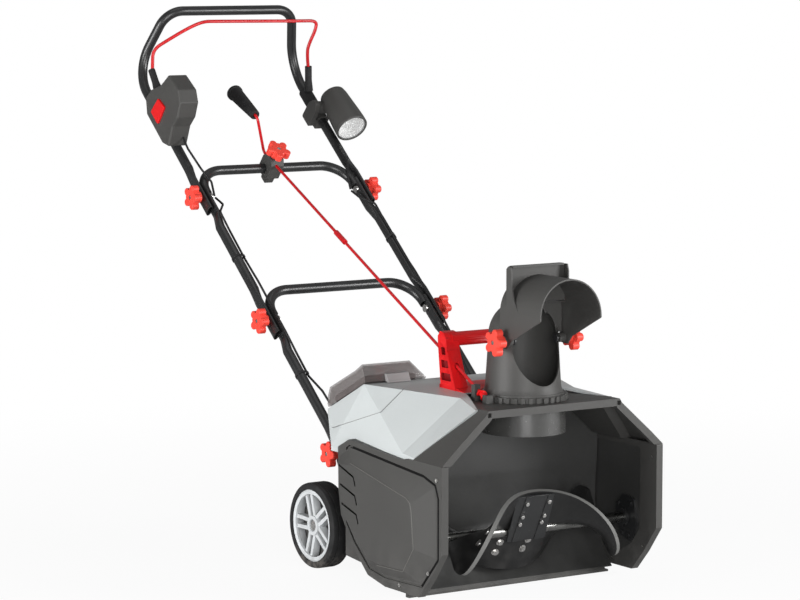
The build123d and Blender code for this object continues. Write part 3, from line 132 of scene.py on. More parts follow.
# ---- shader maths
class Signal:
    """A shader socket that Python's operators work on."""

    def __init__(self, graph: "Graph", socket: bpy.types.NodeSocket | None) -> None:
        """Wraps an output socket."""
        self.graph = graph
        self.socket = socket

    def _maths(self, operation: str, *values: "Value") -> "Signal":
        """Adds a Math node with its inputs in order."""
        return self.graph.add("ShaderNodeMath", {"operation": operation}, dict(enumerate(values)))

    def __add__(self, other: "Value") -> "Signal":
        """Sum."""
        return self._maths("ADD", self, other)

    __radd__ = __add__

    def __mul__(self, other: "Value") -> "Signal":
        """Product."""
        return self._maths("MULTIPLY", self, other)

    __rmul__ = __mul__

    def __sub__(self, other: "Value") -> "Signal":
        """Difference."""
        return self._maths("SUBTRACT", self, other)

    def __rsub__(self, other: "Value") -> "Signal":
        """Difference from a number."""
        return self._maths("SUBTRACT", other, self)

    def larger(self, other: "Value") -> "Signal":
        """The larger of two values."""
        return self._maths("MAXIMUM", self, other)

    def swing(self, share: float) -> "Signal":
        """A share of how far a value from 0 to 1 is from its middle."""
        return (self - 0.5) * share

    def rise(self, low: float, high: float) -> "Signal":
        """Goes smoothly from 0 at low to 1 at high; low may be the larger."""
        sockets = {"Value": self, "From Min": low, "From Max": high}
        return self.graph.add("ShaderNodeMapRange", {"interpolation_type": "SMOOTHSTEP"}, sockets)


Value = Union[Signal, float, Colour]


class Graph:
    """The node graph of one material, or of the world."""

    def __init__(self, holder: Union[str, bpy.types.World]) -> None:
        """Starts an empty graph.

        Args:
            holder: The name of a new material, or the world.
        """
        self.holder = bpy.data.materials.new(holder) if isinstance(holder, str) else holder
        self.holder.use_nodes = True
        self.tree = self.holder.node_tree
        self.tree.nodes.clear()

    def add(
        self,
        kind: str,
        settings: dict[str, Any] | None = None,
        sockets: dict[Union[str, int], Value] | None = None,
        output: Union[str, int] = 0,
    ) -> Signal:
        """Adds a node.

        Args:
            kind: The node's type.
            settings: Its properties, set before its sockets.
            sockets: Values or links of its inputs, by name or number.
            output: The output to hand back, by name or number.

        Returns:
            The chosen output.
        """
        node = self.tree.nodes.new(kind)
        for key, value in (settings or {}).items():
            setattr(node, key, value)
        for key, value in (sockets or {}).items():
            if isinstance(value, Signal):
                self.tree.links.new(value.socket, node.inputs[key])
            elif isinstance(value, tuple) and node.inputs[key].type == "RGBA":
                node.inputs[key].default_value = (*value, 1.0)
            else:
                node.inputs[key].default_value = value
        return Signal(self, node.outputs[output] if node.outputs else None)

    def place(self) -> Signal:
        """The point on the surface, in the part's own frame."""
        return self.add("ShaderNodeTexCoord", output="Object")

    def height(self) -> Signal:
        """The point's height above the ground."""
        return self.add("ShaderNodeSeparateXYZ", sockets={"Vector": self.place()}, output="Z")

    def noise(
        self,
        size: float,
        detail: float = 2.0,
        roughness: float = 0.5,
        stretch: Point | None = None,
    ) -> Signal:
        """Cloudy noise.

        Args:
            size: Size of its largest blotches.
            detail: Number of finer layers.
            roughness: Strength of the finer layers.
            stretch: Scale along each axis, of which a small one draws it out.

        Returns:
            A value around 0.5.
        """
        place = self.place()
        if stretch:
            place = self.add("ShaderNodeMapping", sockets={"Vector": place, "Scale": stretch})
        scale = {"Vector": place, "Scale": 1.0 / size}
        sockets = {**scale, "Detail": detail, "Roughness": roughness}
        return self.add("ShaderNodeTexNoise", sockets=sockets)

    def cells(self, size: float) -> Signal:
        """Distance from the nearest of many scattered points, for grains and pits."""
        sockets = {"Vector": self.place(), "Scale": 1.0 / size}
        return self.add("ShaderNodeTexVoronoi", sockets=sockets, output="Distance")

    def mix(self, factor: Value, first: Value, second: Value) -> Signal:
        """Blends two colours."""
        sockets = {0: factor, 6: first, 7: second}
        return self.add("ShaderNodeMix", {"data_type": "RGBA"}, sockets, output=2)

    def measure(self, operation: str, *vectors: Signal) -> Signal:
        """A number that Vector Math gives for one or two vectors."""
        sockets = dict(enumerate(vectors))
        return self.add("ShaderNodeVectorMath", {"operation": operation}, sockets, output="Value")

    def edges(self, radius: float) -> Signal:
        """Finds the edges.

        Args:
            radius: How far from an edge it still counts.

        Returns:
            0 on open faces, rising towards 1 along the edges.
        """
        rounded = self.add("ShaderNodeBevel", {"samples": 4}, {"Radius": radius})
        flat = self.add("ShaderNodeNewGeometry", output="Normal")
        return (1.0 - self.measure("DOT_PRODUCT", rounded, flat)).rise(*EDGE_RANGE)

    def bump(self, height: Signal, depth: float, under: Signal | None = None) -> Signal:
        """Turns a height into a surface normal.

        Args:
            height: Relief from 0 to 1.
            depth: Its depth at 1.
            under: Normal that the relief lies on.

        Returns:
            The bumped normal.
        """
        sockets = {"Height": height, "Distance": depth}
        if under is not None:
            sockets["Normal"] = under
        return self.add("ShaderNodeBump", sockets=sockets)

    def ray(self, kind: str) -> Signal:
        """1 for the light paths of a kind, and 0 for others."""
        return self.add("ShaderNodeLightPath", output=f"Is {kind} Ray")

    def finish(self, shader: Signal) -> bpy.types.Material:
        """Links the shader to the material's output."""
        self.add("ShaderNodeOutputMaterial", sockets={"Surface": shader})
        return self.holder


# ---- finishes
def tint(colour: Colour, share: float, lift: float = 0.0) -> Colour:
    """A share of a colour, raised by the lift and no brighter than white."""
    return tuple(min(1.0, share * part + lift) for part in colour)


@dataclass(frozen=True)
class Finish:
    """A finish that one Principled shader gives."""

    colour: Colour

    def build(self, name: str) -> bpy.types.Material:
        """Makes the material.

        Args:
            name: The material's name.

        Returns:
            The finished material.
        """
        graph = Graph(name)
        sockets = self.sockets(graph)
        return graph.finish(graph.add("ShaderNodeBsdfPrincipled", sockets=sockets))

    def sockets(self, graph: Graph) -> dict[str, Value]:
        """The inputs of the finish's shader, which each finish gives."""
        raise NotImplementedError


@dataclass(frozen=True)
class MouldedPlastic(Finish):
    """Plastic from a spark-eroded mould: fine grain, faint flow marks, rubbed edges."""

    roughness: float = 0.5
    flow: float = 0.09
    fine: float = 0.006
    grain: float = 0.0009
    grain_depth: float = 0.00005
    edge: float = 0.0012
    scuff: float = 0.02
    rub: float = 0.25
    dust: float = 0.12
    dust_size: float = 0.03
    dust_top: float = 0.14
    dust_colour: Colour = (0.22, 0.21, 0.2)
    specular: float = 0.35

    def sockets(self, graph: Graph) -> dict[str, Value]:
        """The shader's inputs.

        Args:
            graph: The material's graph.

        Returns:
            Each input's value or link.
        """
        flow = graph.noise(self.flow, 3.0)
        fine = graph.noise(self.fine, 4.0, roughness=0.65)
        tone = flow.swing(0.35) + fine.swing(0.3) + 0.5
        base = graph.mix(tone, tint(self.colour, 0.72), tint(self.colour, 1.28, 0.004))
        worn = graph.edges(self.edge) * graph.noise(self.scuff, 5.0).rise(0.4, 0.62)
        base = graph.mix(worn * self.rub, base, tint(self.colour, 1.7, 0.05))
        low = graph.height().rise(self.dust_top, 0.0)
        low = low * graph.noise(self.dust_size, 6.0).rise(0.38, 0.68)
        base = graph.mix(low * self.dust, base, self.dust_colour)
        normal = graph.bump(graph.cells(self.grain), self.grain_depth)
        return {
            "Base Color": base,
            "Roughness": fine.swing(0.16) + flow.swing(0.12) + self.roughness + low * 0.12,
            "Specular IOR Level": self.specular,
            "Normal": graph.bump(fine, self.grain_depth * 1.5, under=normal),
        }


@dataclass(frozen=True)
class GlossPlastic(Finish):
    """Smooth semi-gloss plastic with a soft waviness and hairline scratches."""

    roughness: float = 0.3
    flow: float = 0.12
    fine: float = 0.004
    wave_depth: float = 0.00064
    fine_depth: float = 0.000032
    hairline: float = 0.004
    edge: float = 0.001
    scuff: float = 0.015
    coat: float = 0.15
    coat_roughness: float = 0.12
    rub: float = 0.2
    dust: float = 0.18
    dust_size: float = 0.03
    dust_top: float = 0.16
    dust_colour: Colour = (0.3, 0.28, 0.26)

    def sockets(self, graph: Graph) -> dict[str, Value]:
        """The shader's inputs.

        Args:
            graph: The material's graph.

        Returns:
            Each input's value or link.
        """
        flow = graph.noise(self.flow)
        fine = graph.noise(self.fine, 4.0, roughness=0.6)
        hairlines = graph.noise(self.hairline, 4.0, stretch=(1.0, 0.06, 0.9)).rise(0.6, 0.72)
        tone = flow.swing(0.8) + fine.swing(0.35) + 0.5
        base = graph.mix(tone, tint(self.colour, 0.88), tint(self.colour, 1.06))
        rubbed = graph.edges(self.edge) * graph.noise(self.scuff, 5.0).rise(0.45, 0.65)
        base = graph.mix(rubbed * self.rub, base, tint(self.colour, 1.15, 0.06))
        dust = graph.height().rise(self.dust_top, 0.0)
        dust = dust * graph.noise(self.dust_size, 6.0).rise(0.4, 0.7)
        base = graph.mix(dust * self.dust, base, self.dust_colour)
        normal = graph.bump(flow, self.wave_depth)
        return {
            "Base Color": base,
            "Roughness": fine.swing(0.1) + hairlines * 0.08 + self.roughness + dust * 0.2,
            "Specular IOR Level": 0.35,
            "Coat Weight": self.coat,
            "Coat Roughness": self.coat_roughness,
            "Normal": graph.bump(fine, self.fine_depth, under=normal),
        }


@dataclass(frozen=True)
class PowderCoat(Finish):
    """Powder-coated steel with an orange-peel surface and bare metal at worn spots."""

    roughness: float = 0.32
    peel: float = 0.0022
    peel_depth: float = 0.00004
    patch: float = 0.05
    chip: float = 0.007
    edge: float = 0.0008
    scuff: float = 0.012
    wear: float = 0.3
    bare: Colour = (0.35, 0.34, 0.33)

    def sockets(self, graph: Graph) -> dict[str, Value]:
        """The shader's inputs.

        Args:
            graph: The material's graph.

        Returns:
            Each input's value or link.
        """
        peel = graph.noise(self.peel, 1.5)
        patch = graph.noise(self.patch, 4.0)
        chips = graph.noise(self.chip, 6.0, roughness=0.7).rise(0.66, 0.72)
        rubbed = graph.edges(self.edge) * graph.noise(self.scuff, 5.0).rise(0.5, 0.62)
        worn = rubbed.larger(chips) * self.wear
        tone = patch.swing(0.9) + 0.5
        base = graph.mix(tone, tint(self.colour, 0.8), tint(self.colour, 1.2, 0.002))
        return {
            "Base Color": graph.mix(worn, base, self.bare),
            "Roughness": patch.swing(0.14) + peel.swing(0.08) + self.roughness,
            "Metallic": worn,
            "Specular IOR Level": 0.5,
            "Normal": graph.bump(peel, self.peel_depth),
        }


@dataclass(frozen=True)
class BareMetal(Finish):
    """Plated or polished metal with crystalline blotches and fine scratches."""

    roughness: float = 0.28
    blotch: float = 0.004
    scratch: float = 0.0015
    scratch_depth: float = 0.00001

    def sockets(self, graph: Graph) -> dict[str, Value]:
        """The shader's inputs.

        Args:
            graph: The material's graph.

        Returns:
            Each input's value or link.
        """
        blotch = graph.noise(self.blotch, 3.0)
        scratches = graph.noise(self.scratch, 4.0, stretch=(0.1, 1.0, 1.0))
        return {
            "Base Color": graph.mix(blotch.rise(0.3, 0.7), tint(self.colour, 0.7), self.colour),
            "Roughness": blotch.swing(0.2) + scratches.swing(0.15) + self.roughness,
            "Metallic": 1.0,
            "Normal": graph.bump(scratches, self.scratch_depth),
        }


@dataclass(frozen=True)
class MouldedRubber(Finish):
    """Matt rubber with a pebbled skin and greyish bloom."""

    roughness: float = 0.78
    cloud: float = 0.03
    pebble: float = 0.0012
    pebble_depth: float = 0.00008
    bloom: float = 0.35
    dust: float = 0.4
    dust_size: float = 0.012
    dust_top: float = 0.05
    dust_colour: Colour = (0.2, 0.18, 0.16)

    def sockets(self, graph: Graph) -> dict[str, Value]:
        """The shader's inputs.

        Args:
            graph: The material's graph.

        Returns:
            Each input's value or link.
        """
        cloud = graph.noise(self.cloud, 5.0, roughness=0.6)
        bloom = cloud.rise(0.42, 0.75) * self.bloom
        base = graph.mix(bloom, self.colour, tint(self.colour, 1.8, 0.03))
        dust = graph.height().rise(self.dust_top, 0.0)
        dust = dust * graph.noise(self.dust_size, 6.0).rise(0.35, 0.65)
        return {
            "Base Color": graph.mix(dust * self.dust, base, self.dust_colour),
            "Roughness": cloud.swing(0.2) + self.roughness,
            "Specular IOR Level": 0.3,
            "Normal": graph.bump(graph.cells(self.pebble), self.pebble_depth),
        }


@dataclass(frozen=True)
class SmokedPlastic(Finish):
    """Tinted see-through plastic with haze, rubbed edges and a soft waviness."""

    cover: float = 0.62
    roughness: float = 0.1
    haze: float = 0.03
    wave: float = 0.06
    wave_depth: float = 0.0001
    edge: float = 0.0015

    def sockets(self, graph: Graph) -> dict[str, Value]:
        """The shader's inputs.

        Args:
            graph: The material's graph.

        Returns:
            Each input's value or link.
        """
        haze = graph.noise(self.haze, 5.0, roughness=0.6)
        base = graph.mix(haze, tint(self.colour, 0.75), self.colour)
        worn = graph.edges(self.edge) * 0.8
        return {
            "Base Color": graph.mix(worn, base, tint(self.colour, 1.6, 0.05)),
            "Roughness": haze.rise(0.4, 0.8) * 0.12 + self.roughness,
            "Alpha": haze.swing(0.12) + self.cover,
            "Specular IOR Level": 0.5,
            "Normal": graph.bump(graph.noise(self.wave, 1.0), self.wave_depth),
        }


FINISHES: dict[Dress, Finish] = {
    Slot.BLACK_PLASTIC: MouldedPlastic((0.05, 0.049, 0.0465)),
    Slot.GREY_PLASTIC: GlossPlastic((0.53, 0.56, 0.56), roughness=0.4),
    Slot.RED_PLASTIC: GlossPlastic((0.66, 0.006, 0.008), roughness=0.42, coat=0.0),
    Slot.BLACK_TUBE: PowderCoat((0.014, 0.0145, 0.015)),
    Slot.RED_METAL: PowderCoat((0.5, 0.004, 0.008), roughness=0.35, wear=0.06),
    Slot.STEEL: BareMetal((0.66, 0.65, 0.63)),
    Slot.DARK_STEEL: PowderCoat((0.012, 0.0125, 0.013), roughness=0.42, wear=0.35),
    Slot.WHEEL_PLASTIC: MouldedPlastic((0.56, 0.58, 0.59), roughness=0.45, dust=0.3, dust_top=0.2),
    Slot.TYRE: MouldedRubber((0.012, 0.012, 0.0125)),
    Slot.RUBBER: MouldedRubber((0.014, 0.014, 0.0145), roughness=0.7, bloom=0.2),
    Slot.SMOKED_COVER: SmokedPlastic((0.19, 0.165, 0.16), cover=0.5),
    Slot.BATTERY_PLASTIC: MouldedPlastic((0.05, 0.03, 0.034)),
    Slot.LAMP_GLASS: SmokedPlastic((0.8, 0.82, 0.84), cover=0.12, roughness=0.05),
    # Painted reflection: pale, mostly diffuse plastic whose colour stands in for the bright reflections of the
    # lamp's bowl.
    Slot.REFLECTOR: GlossPlastic((0.88, 0.88, 0.87), roughness=0.16, coat=0.4, rub=0.0),
    Slot.CABLE: MouldedRubber((0.01, 0.01, 0.0105), roughness=0.55, bloom=0.1),
    Look.INTAKE_LINER: MouldedPlastic(
        (0.034, 0.034, 0.033), roughness=0.34, dust=0.02, specular=0.5
    ),
    Look.BLADE: MouldedPlastic((0.009, 0.009, 0.009), roughness=0.4, dust=0.08, dust_top=0.2),
    Look.BLADE_RIM: MouldedPlastic((0.13, 0.13, 0.125), roughness=0.55, dust=0.3, dust_top=0.2),
    # Painted light: the knobs' red is lighter than the other red plastic, standing in for the light falling on
    # them.
    Look.KNOB: GlossPlastic((0.8, 0.06, 0.04), roughness=0.42, coat=0.0),
    # Painted shade: dark red standing in for the shade inside the carrying handle's louvres.
    Look.LOUVRE: GlossPlastic((0.2, 0.002, 0.004), roughness=0.5, coat=0.0),
    # Painted shade: near-black, matt plastic standing in for the shade inside the side covers' grooves.
    Look.GROOVE: MouldedPlastic((0.004,) * 3, roughness=0.8, rub=0.0, dust=0.0, specular=0.1),
    # Painted highlight: lighter plastic for the cord that stands in for light along the side panels' edges.
    Look.CREST: MouldedPlastic((0.11, 0.108, 0.1), roughness=0.4),
    Look.DULL_BOLT: PowderCoat((0.02, 0.02, 0.021), roughness=0.4, wear=0.1),
    Look.COLLAR: MouldedPlastic((0.045, 0.045, 0.043), roughness=0.24, dust=0.0, specular=0.6),
    Look.SEAM: MouldedPlastic((0.16, 0.165, 0.165), roughness=0.7, rub=0.0, dust=0.0),
    Look.LATCH: GlossPlastic((0.3, 0.29, 0.29), roughness=0.35),
    Look.REFLECTOR_RIM: GlossPlastic((0.8, 0.8, 0.79)),
    Look.SHAFT: BareMetal((0.24, 0.24, 0.23), blotch=0.02),
    Look.LIGHT_SOURCE: BareMetal((0.85, 0.8, 0.6), roughness=0.3),
}


@cache
def material(look: Dress) -> bpy.types.Material:
    """The material of a slot or a look, made at the first call."""
    return FINISHES[look].build(look.value + "_finish")


# ---- shaping
def facing(origin: Vector, axis: Vector, across: Vector) -> Matrix:
    """Placement whose Z points along an axis.

    Args:
        origin: Where the shape's own origin goes.
        axis: Direction of the shape's Z.
        across: Rough direction of the shape's X.

    Returns:
        The placement, in millimetres.
    """
    height = axis.normalized()
    side = (across - height * across.dot(height)).normalized()
    turn = Matrix((side, height.cross(side), height)).transposed()
    return Matrix.Translation(origin) @ turn.to_4x4()


def stand(name: str, data: bpy.types.ID) -> bpy.types.Object:
    """Puts a new object into the scene.

    Args:
        name: The object's name.
        data: Its mesh, lamp or camera.

    Returns:
        The object.
    """
    made = bpy.data.objects.new(name, data)
    bpy.context.scene.collection.objects.link(made)
    return made


class Form:
    """A mesh being shaped, in millimetres."""

    def __init__(self) -> None:
        """Starts with nothing."""
        self.mesh = bmesh.new()
        self.faces_out = False

    @classmethod
    def of_node(cls, node: str) -> "Form":
        """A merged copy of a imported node.

        Args:
            node: The node's name.

        Returns:
            The copy, with its flat faces in one piece each.
        """
        form = cls()
        form.faces_out = True
        form.mesh.from_mesh(mesh_of(node))
        verts, edges = form.mesh.verts, form.mesh.edges
        bmesh.ops.scale(form.mesh, vec=(1.0 / MM,) * 3, verts=verts)
        form.merge()
        flat = math.radians(FLAT_ANGLE)
        bmesh.ops.dissolve_limit(form.mesh, angle_limit=flat, verts=verts, edges=edges)
        return form

    def merge(self) -> None:
        """Merges the points that lie on each other."""
        bmesh.ops.remove_doubles(self.mesh, verts=self.mesh.verts, dist=MERGE)

    def turn(self, profile: Outline, sides: int = ROUND_SIDES, loop: bool = True) -> "Form":
        """Adds a body turned about Z.

        Args:
            profile: Radius and height of each corner.
            sides: Number of faces round the body.
            loop: Whether the profile closes on itself; one that starts and
                ends on the axis doesn't.

        Returns:
            The form.
        """
        points = [self.mesh.verts.new((radius, 0.0, height)) for radius, height in profile]
        nexts = points[1:] + points[:1] if loop else points[1:]
        edges = [self.mesh.edges.new(pair) for pair in zip(points, nexts)]
        full = {"cent": (0.0, 0.0, 0.0), "axis": (0.0, 0.0, 1.0), "angle": math.tau}
        bmesh.ops.spin(self.mesh, geom=points + edges, steps=sides, use_merge=True, **full)
        self.merge()
        return self

    def prism(self, corners: int, radius: float, low: float, high: float) -> "Form":
        """Adds a regular prism about Z, such as a nut or a washer.

        Args:
            corners: Number of its corners.
            radius: Distance of the corners from Z.
            low: Height of its lower face.
            high: Height of its upper face.

        Returns:
            The form.
        """
        size = {"radius1": radius, "radius2": radius, "depth": high - low}
        made = bmesh.ops.create_cone(self.mesh, cap_ends=True, segments=corners, **size)
        bmesh.ops.translate(self.mesh, vec=(0.0, 0.0, (low + high) / 2), verts=made["verts"])
        return self

    def slab(self, corners: list[Corner], low: float, high: float) -> "Form":
        """Adds a flat plate of any outline.

        Args:
            corners: X and Y of each corner, in order.
            low: Height of its lower face.
            high: Height of its upper face.

        Returns:
            The form.
        """
        face = self.mesh.faces.new([self.mesh.verts.new((x, y, low)) for x, y in corners])
        made = bmesh.ops.extrude_face_region(self.mesh, geom=[face], use_keep_orig=True)
        moved = [item for item in made["geom"] if isinstance(item, bmesh.types.BMVert)]
        bmesh.ops.translate(self.mesh, vec=(0.0, 0.0, high - low), verts=moved)
        return self

    def cord(self, points: Path, radius: float, bend: bool = False) -> "Form":
        """Adds a round bar along a path.

        Args:
            points: The path.
            radius: The bar's radius.
            bend: Whether the path bends softly near its points.

        Returns:
            The form.
        """
        data = bpy.data.curves.new("cord", "CURVE")
        data.dimensions = "3D"
        data.bevel_depth = radius
        data.bevel_resolution = CORD_ROUNDNESS
        data.use_fill_caps = True
        data.resolution_u = CORD_STEPS
        line = data.splines.new("NURBS" if bend else "POLY")
        line.points.add(len(points) - 1)
        for spot, point in zip(line.points, points):
            spot.co = (*point, 1.0)
        line.use_endpoint_u = True
        line.order_u = 3
        holder = bpy.data.objects.new("cord", data)
        made = bpy.data.meshes.new_from_object(holder)
        self.mesh.from_mesh(made)
        self.merge()
        bpy.data.objects.remove(holder)
        bpy.data.curves.remove(data)
        bpy.data.meshes.remove(made)
        return self

    def soften(self, radius: float, segments: int = 2, angle: float = BEND_ANGLE) -> "Form":
        """Rounds the edges.

        Args:
            radius: Width of the rounding.
            segments: Number of faces across it.
            angle: Edges that turn by less than this many degrees stay.

        Returns:
            The form.
        """
        least = math.radians(angle)
        bmesh.ops.bevel(
            self.mesh,
            geom=[edge for edge in self.mesh.edges if edge.calc_face_angle(0.0) > least],
            offset=radius,
            offset_type="OFFSET",
            segments=segments,
            profile=0.5,
            affect="EDGES",
            clamp_overlap=True,
            material=-1,
        )
        return self

    def place(self, matrix: Matrix) -> "Form":
        """Moves everything made so far."""
        bmesh.ops.transform(self.mesh, matrix=matrix, verts=self.mesh.verts)
        return self

    def copies(self, matrices: list[Matrix]) -> "Form":
        """Puts one copy of the shape at each placement.

        Args:
            matrices: The placements.

        Returns:
            The form.
        """
        first = list(self.mesh.verts) + list(self.mesh.edges) + list(self.mesh.faces)
        groups = [bmesh.ops.duplicate(self.mesh, geom=first)["geom"] for _ in matrices[1:]]
        for matrix, group in zip(matrices, [first] + groups):
            verts = [item for item in group if isinstance(item, bmesh.types.BMVert)]
            bmesh.ops.transform(self.mesh, matrix=matrix, verts=verts)
        return self

    def to_mesh(self, name: str) -> bpy.types.Mesh:
        """Turns the form into a mesh in metres, and ends it.

        Args:
            name: The mesh's name.

        Returns:
            The mesh, with its faces pointing outwards.
        """
        if not self.faces_out:
            bmesh.ops.recalc_face_normals(self.mesh, faces=self.mesh.faces)
        bmesh.ops.scale(self.mesh, vec=(MM,) * 3, verts=self.mesh.verts)
        mesh = bpy.data.meshes.new(name)
        self.mesh.to_mesh(mesh)
        self.mesh.free()
        return mesh


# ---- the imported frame
def joint(name: str) -> tuple[Vector, Vector]:
    """Place and axis of a joint.

    Args:
        name: The joint's name.

    Returns:
        A point of its axis in millimetres, and the axis.
    """
    found = next(item for item in frame["joints"] if item["name"] == name)
    return Vector(found["pos_m"]) / MM, Vector(found["axis"]).normalized()


def mesh_of(node: str) -> bpy.types.Mesh:
    """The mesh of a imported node."""
    return frame["nodes"][node].data


def body_of(node: str) -> str:
    """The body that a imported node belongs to."""
    bodies = frame["record"]["behaviour"]["bodies"]
    return next(body for body, nodes in bodies.items() if node in nodes)


def slot_named(plain: bpy.types.Material) -> Slot:
    """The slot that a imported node's plain material stands for."""
    return Slot(plain.name.split(".")[0])


def slot_of(node: str) -> Slot:
    """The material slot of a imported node."""
    return slot_named(mesh_of(node).materials[0])


def box_mm(node: str) -> tuple[Vector, Vector]:
    """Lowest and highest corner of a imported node, in millimetres."""
    low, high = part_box(node)
    return low / MM, high / MM


def span_along(node: str, point: Vector, axis: Vector) -> tuple[float, float]:
    """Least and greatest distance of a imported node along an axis, in millimetres."""
    reaches = [(vertex.co / MM - point).dot(axis) for vertex in mesh_of(node).vertices]
    return min(reaches), max(reaches)


# ---- sub-assemblies
class Assembly:
    """A group of parts that are made and dressed together."""

    def add(
        self,
        form: Form,
        name: str,
        body: str,
        slot: Slot,
        *looks: Dress,
        replaced: str | None = None,
        sharp: float = SHARP_ANGLE,
    ) -> None:
        """Turns a form into a finished piece.

        Args:
            form: The form.
            name: The piece's name.
            body: The body that it rides on.
            slot: The material slot that it belongs to.
            looks: Its looks, in the order of its faces' numbers, where they
                aren't just the slot's.
            replaced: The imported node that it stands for.
            sharp: Edges that turn by more than this many degrees look sharp.
        """
        mesh = form.to_mesh(name)
        mesh.shade_smooth()
        mesh.set_sharp_from_angle(angle=math.radians(sharp))
        for look in looks or (slot,):
            mesh.materials.append(material(look))
        made = stand(name, mesh)
        shading = made.modifiers.new("even_shading", "WEIGHTED_NORMAL")
        shading.keep_sharp = True
        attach(made, body)
        if replaced:
            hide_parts(replaced)
        LOG.info("made %s with %d faces on %s", name, len(mesh.polygons), body)

    def round_off(
        self,
        node: str,
        radius: float,
        *looks: Dress,
        segments: int = 2,
        angle: float = BEND_ANGLE,
        marked: Callable[[Face], bool] | None = None,
    ) -> None:
        """Gives a part the edge rounding of the real one.

        Args:
            node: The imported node, which the rounded piece stands for.
            radius: Rounding of its edges.
            looks: Its looks, where they aren't just its slot's.
            segments: Number of faces across the rounding.
            angle: Edges that turn by less than this many degrees stay.
            marked: Says which faces have the second look.
        """
        form = Form.of_node(node).soften(radius, segments, angle)
        if marked:
            for face in form.mesh.faces:
                face.material_index = int(marked(face))
        self.add(form, node + "_rounded", body_of(node), slot_of(node), *looks, replaced=node)


@dataclass
class Housing(Assembly):
    """Hood, side covers, pale shell, intake liner and carrying handle."""

    hood_edge: float = 1.2
    cover_edge: float = 1.4
    shell_edge: float = 1.6
    liner_edge: float = 0.8
    handle_edge: float = 2.2
    pan_edge: float = 1.2
    facet_angle: float = 3.5
    cover_angle: float = 7.0
    flat_share: float = 0.95
    wall_share: float = 0.3
    floor_play: float = 0.3
    grooves: Outline = ((246.5, 250.0), (259.0, 262.0))
    # Faces of the edge groove in front of the first value or above the second get painted shade.
    painted_shade_end: Corner = (-75.0, 150.0)
    # Painted highlight: a pale cord along the edges of the panel's face, standing in for the light on them.
    highlight_reach: float = 261.15
    highlight_radius: float = 0.85
    crest: Outline = (
        (153.0, 231.5), (-38.5, 194.2), (-52.0, 186.5), (-56.0, 171.8), (-63.2, 103.5),
        (-28.5, 56.0), (60.0, 53.0),
    )
    # Painted shadow: a near-black cord laid along the groove, standing in for the shade inside it.
    groove_shadow_reach: float = 248.3
    groove_shadow_radius: float = 3.0
    lining: Outline = (
        (160.0, 259.6), (-80.5, 239.8), (-119.0, 228.0), (-128.6, 204.5), (-128.6, 93.0),
        (-75.5, 36.5),
    )
    louvres: Outline = ((89.0, 95.0), (72.0, 66.0))
    seam: Path = ((-229.8, 270.6, 280.2), (-221.2, 109.5, 330.8), (-171.5, 105.3, 372.1))
    seam_width: float = 0.5

    def build(self) -> None:
        """Makes the pieces of the housing."""
        self.round_off("hood", self.hood_edge)
        self.round_off("scraper_bar", self.liner_edge)
        self.round_off("base_pan", self.pan_edge)
        self.round_off("handle_ears", self.pan_edge)
        self.round_off("bearing_plates", self.liner_edge)
        self.round_off("shell_cover", self.shell_edge, angle=self.facet_angle)
        self.round_off("scoop", self.liner_edge, Look.INTAKE_LINER)
        self.round_off("chute_collar", self.liner_edge, Look.COLLAR)
        self.side_cover("right")
        self.side_cover("left")
        self.carry_handle()
        self.seams()

    def sunk(self, face: Face, floor: float, mouth: float) -> bool:
        """Whether a face is the floor or a wall of a recess in the X direction.

        Args:
            face: The face.
            floor: Distance of the recess's floor from the middle of the machine.
            mouth: Distance of its open side.

        Returns:
            True for a face of the recess.
        """
        reach = abs(face.calc_center_median().x)
        across = abs(face.normal.x)
        if across > self.flat_share:
            return abs(reach - floor) < self.floor_play
        return across < self.wall_share and min(floor, mouth) < reach < max(floor, mouth)

    def side_cover(self, side: str) -> None:
        """A side cover whose grooves get painted shade, with a pale cord as painted highlight along its panel's
        face and a near-black cord as painted shadow in its groove.

        Args:
            side: The operator's side that the cover is on.
        """
        edge, hooks = self.grooves
        front, low = self.painted_shade_end

        def in_painted_shade(face: Face) -> bool:
            """Whether a face lies in a part of a groove that gets painted shade."""
            _, y, z = face.calc_center_median()
            return self.sunk(face, *hooks) or (y < front or z > low) and self.sunk(face, *edge)

        # The marked groove faces get the near-black finish as painted shade.
        looks = (Slot.BLACK_PLASTIC, Look.GROOVE)
        angle = self.cover_angle
        self.round_off(f"side_cover_{side}", self.cover_edge, *looks, angle=angle, marked=in_painted_shade)
        # A pale cord is painted highlight along the panel's face; a near-black cord is painted shadow in the
        # groove.
        for name, look, reach, line, radius in (
            ("panel_crest", Look.CREST, self.highlight_reach, self.crest, self.highlight_radius),
            ("groove_lining", Look.GROOVE, self.groove_shadow_reach, self.lining, self.groove_shadow_radius),
        ):
            path = [(OUTWARDS[side].x * reach, y, z) for y, z in line]
            form = Form().cord(path, radius)
            self.add(form, f"{name}_{side}", "base", Slot.BLACK_PLASTIC, look)

    def carry_handle(self) -> None:
        """The carrying handle, whose louvres get a darker red as painted shade."""

        def in_painted_shade(face: Face) -> bool:
            """Whether a face lies in a louvre."""
            return any(self.sunk(face, *louvre) for louvre in self.louvres)

        # The louvre faces get the dark red as painted shade.
        looks = (Slot.RED_PLASTIC, Look.LOUVRE)
        self.round_off("carry_handle", self.handle_edge, *looks, marked=in_painted_shade)

    def seams(self) -> None:
        """Fine joints between the panels of the pale shell, on both sides."""
        form = Form()
        for side in (1.0, -1.0):
            form.cord([(side * x, y, z) for x, y, z in self.seam], self.seam_width)
        self.add(form, "shell_seams", "base", Slot.GREY_PLASTIC, Look.SEAM)


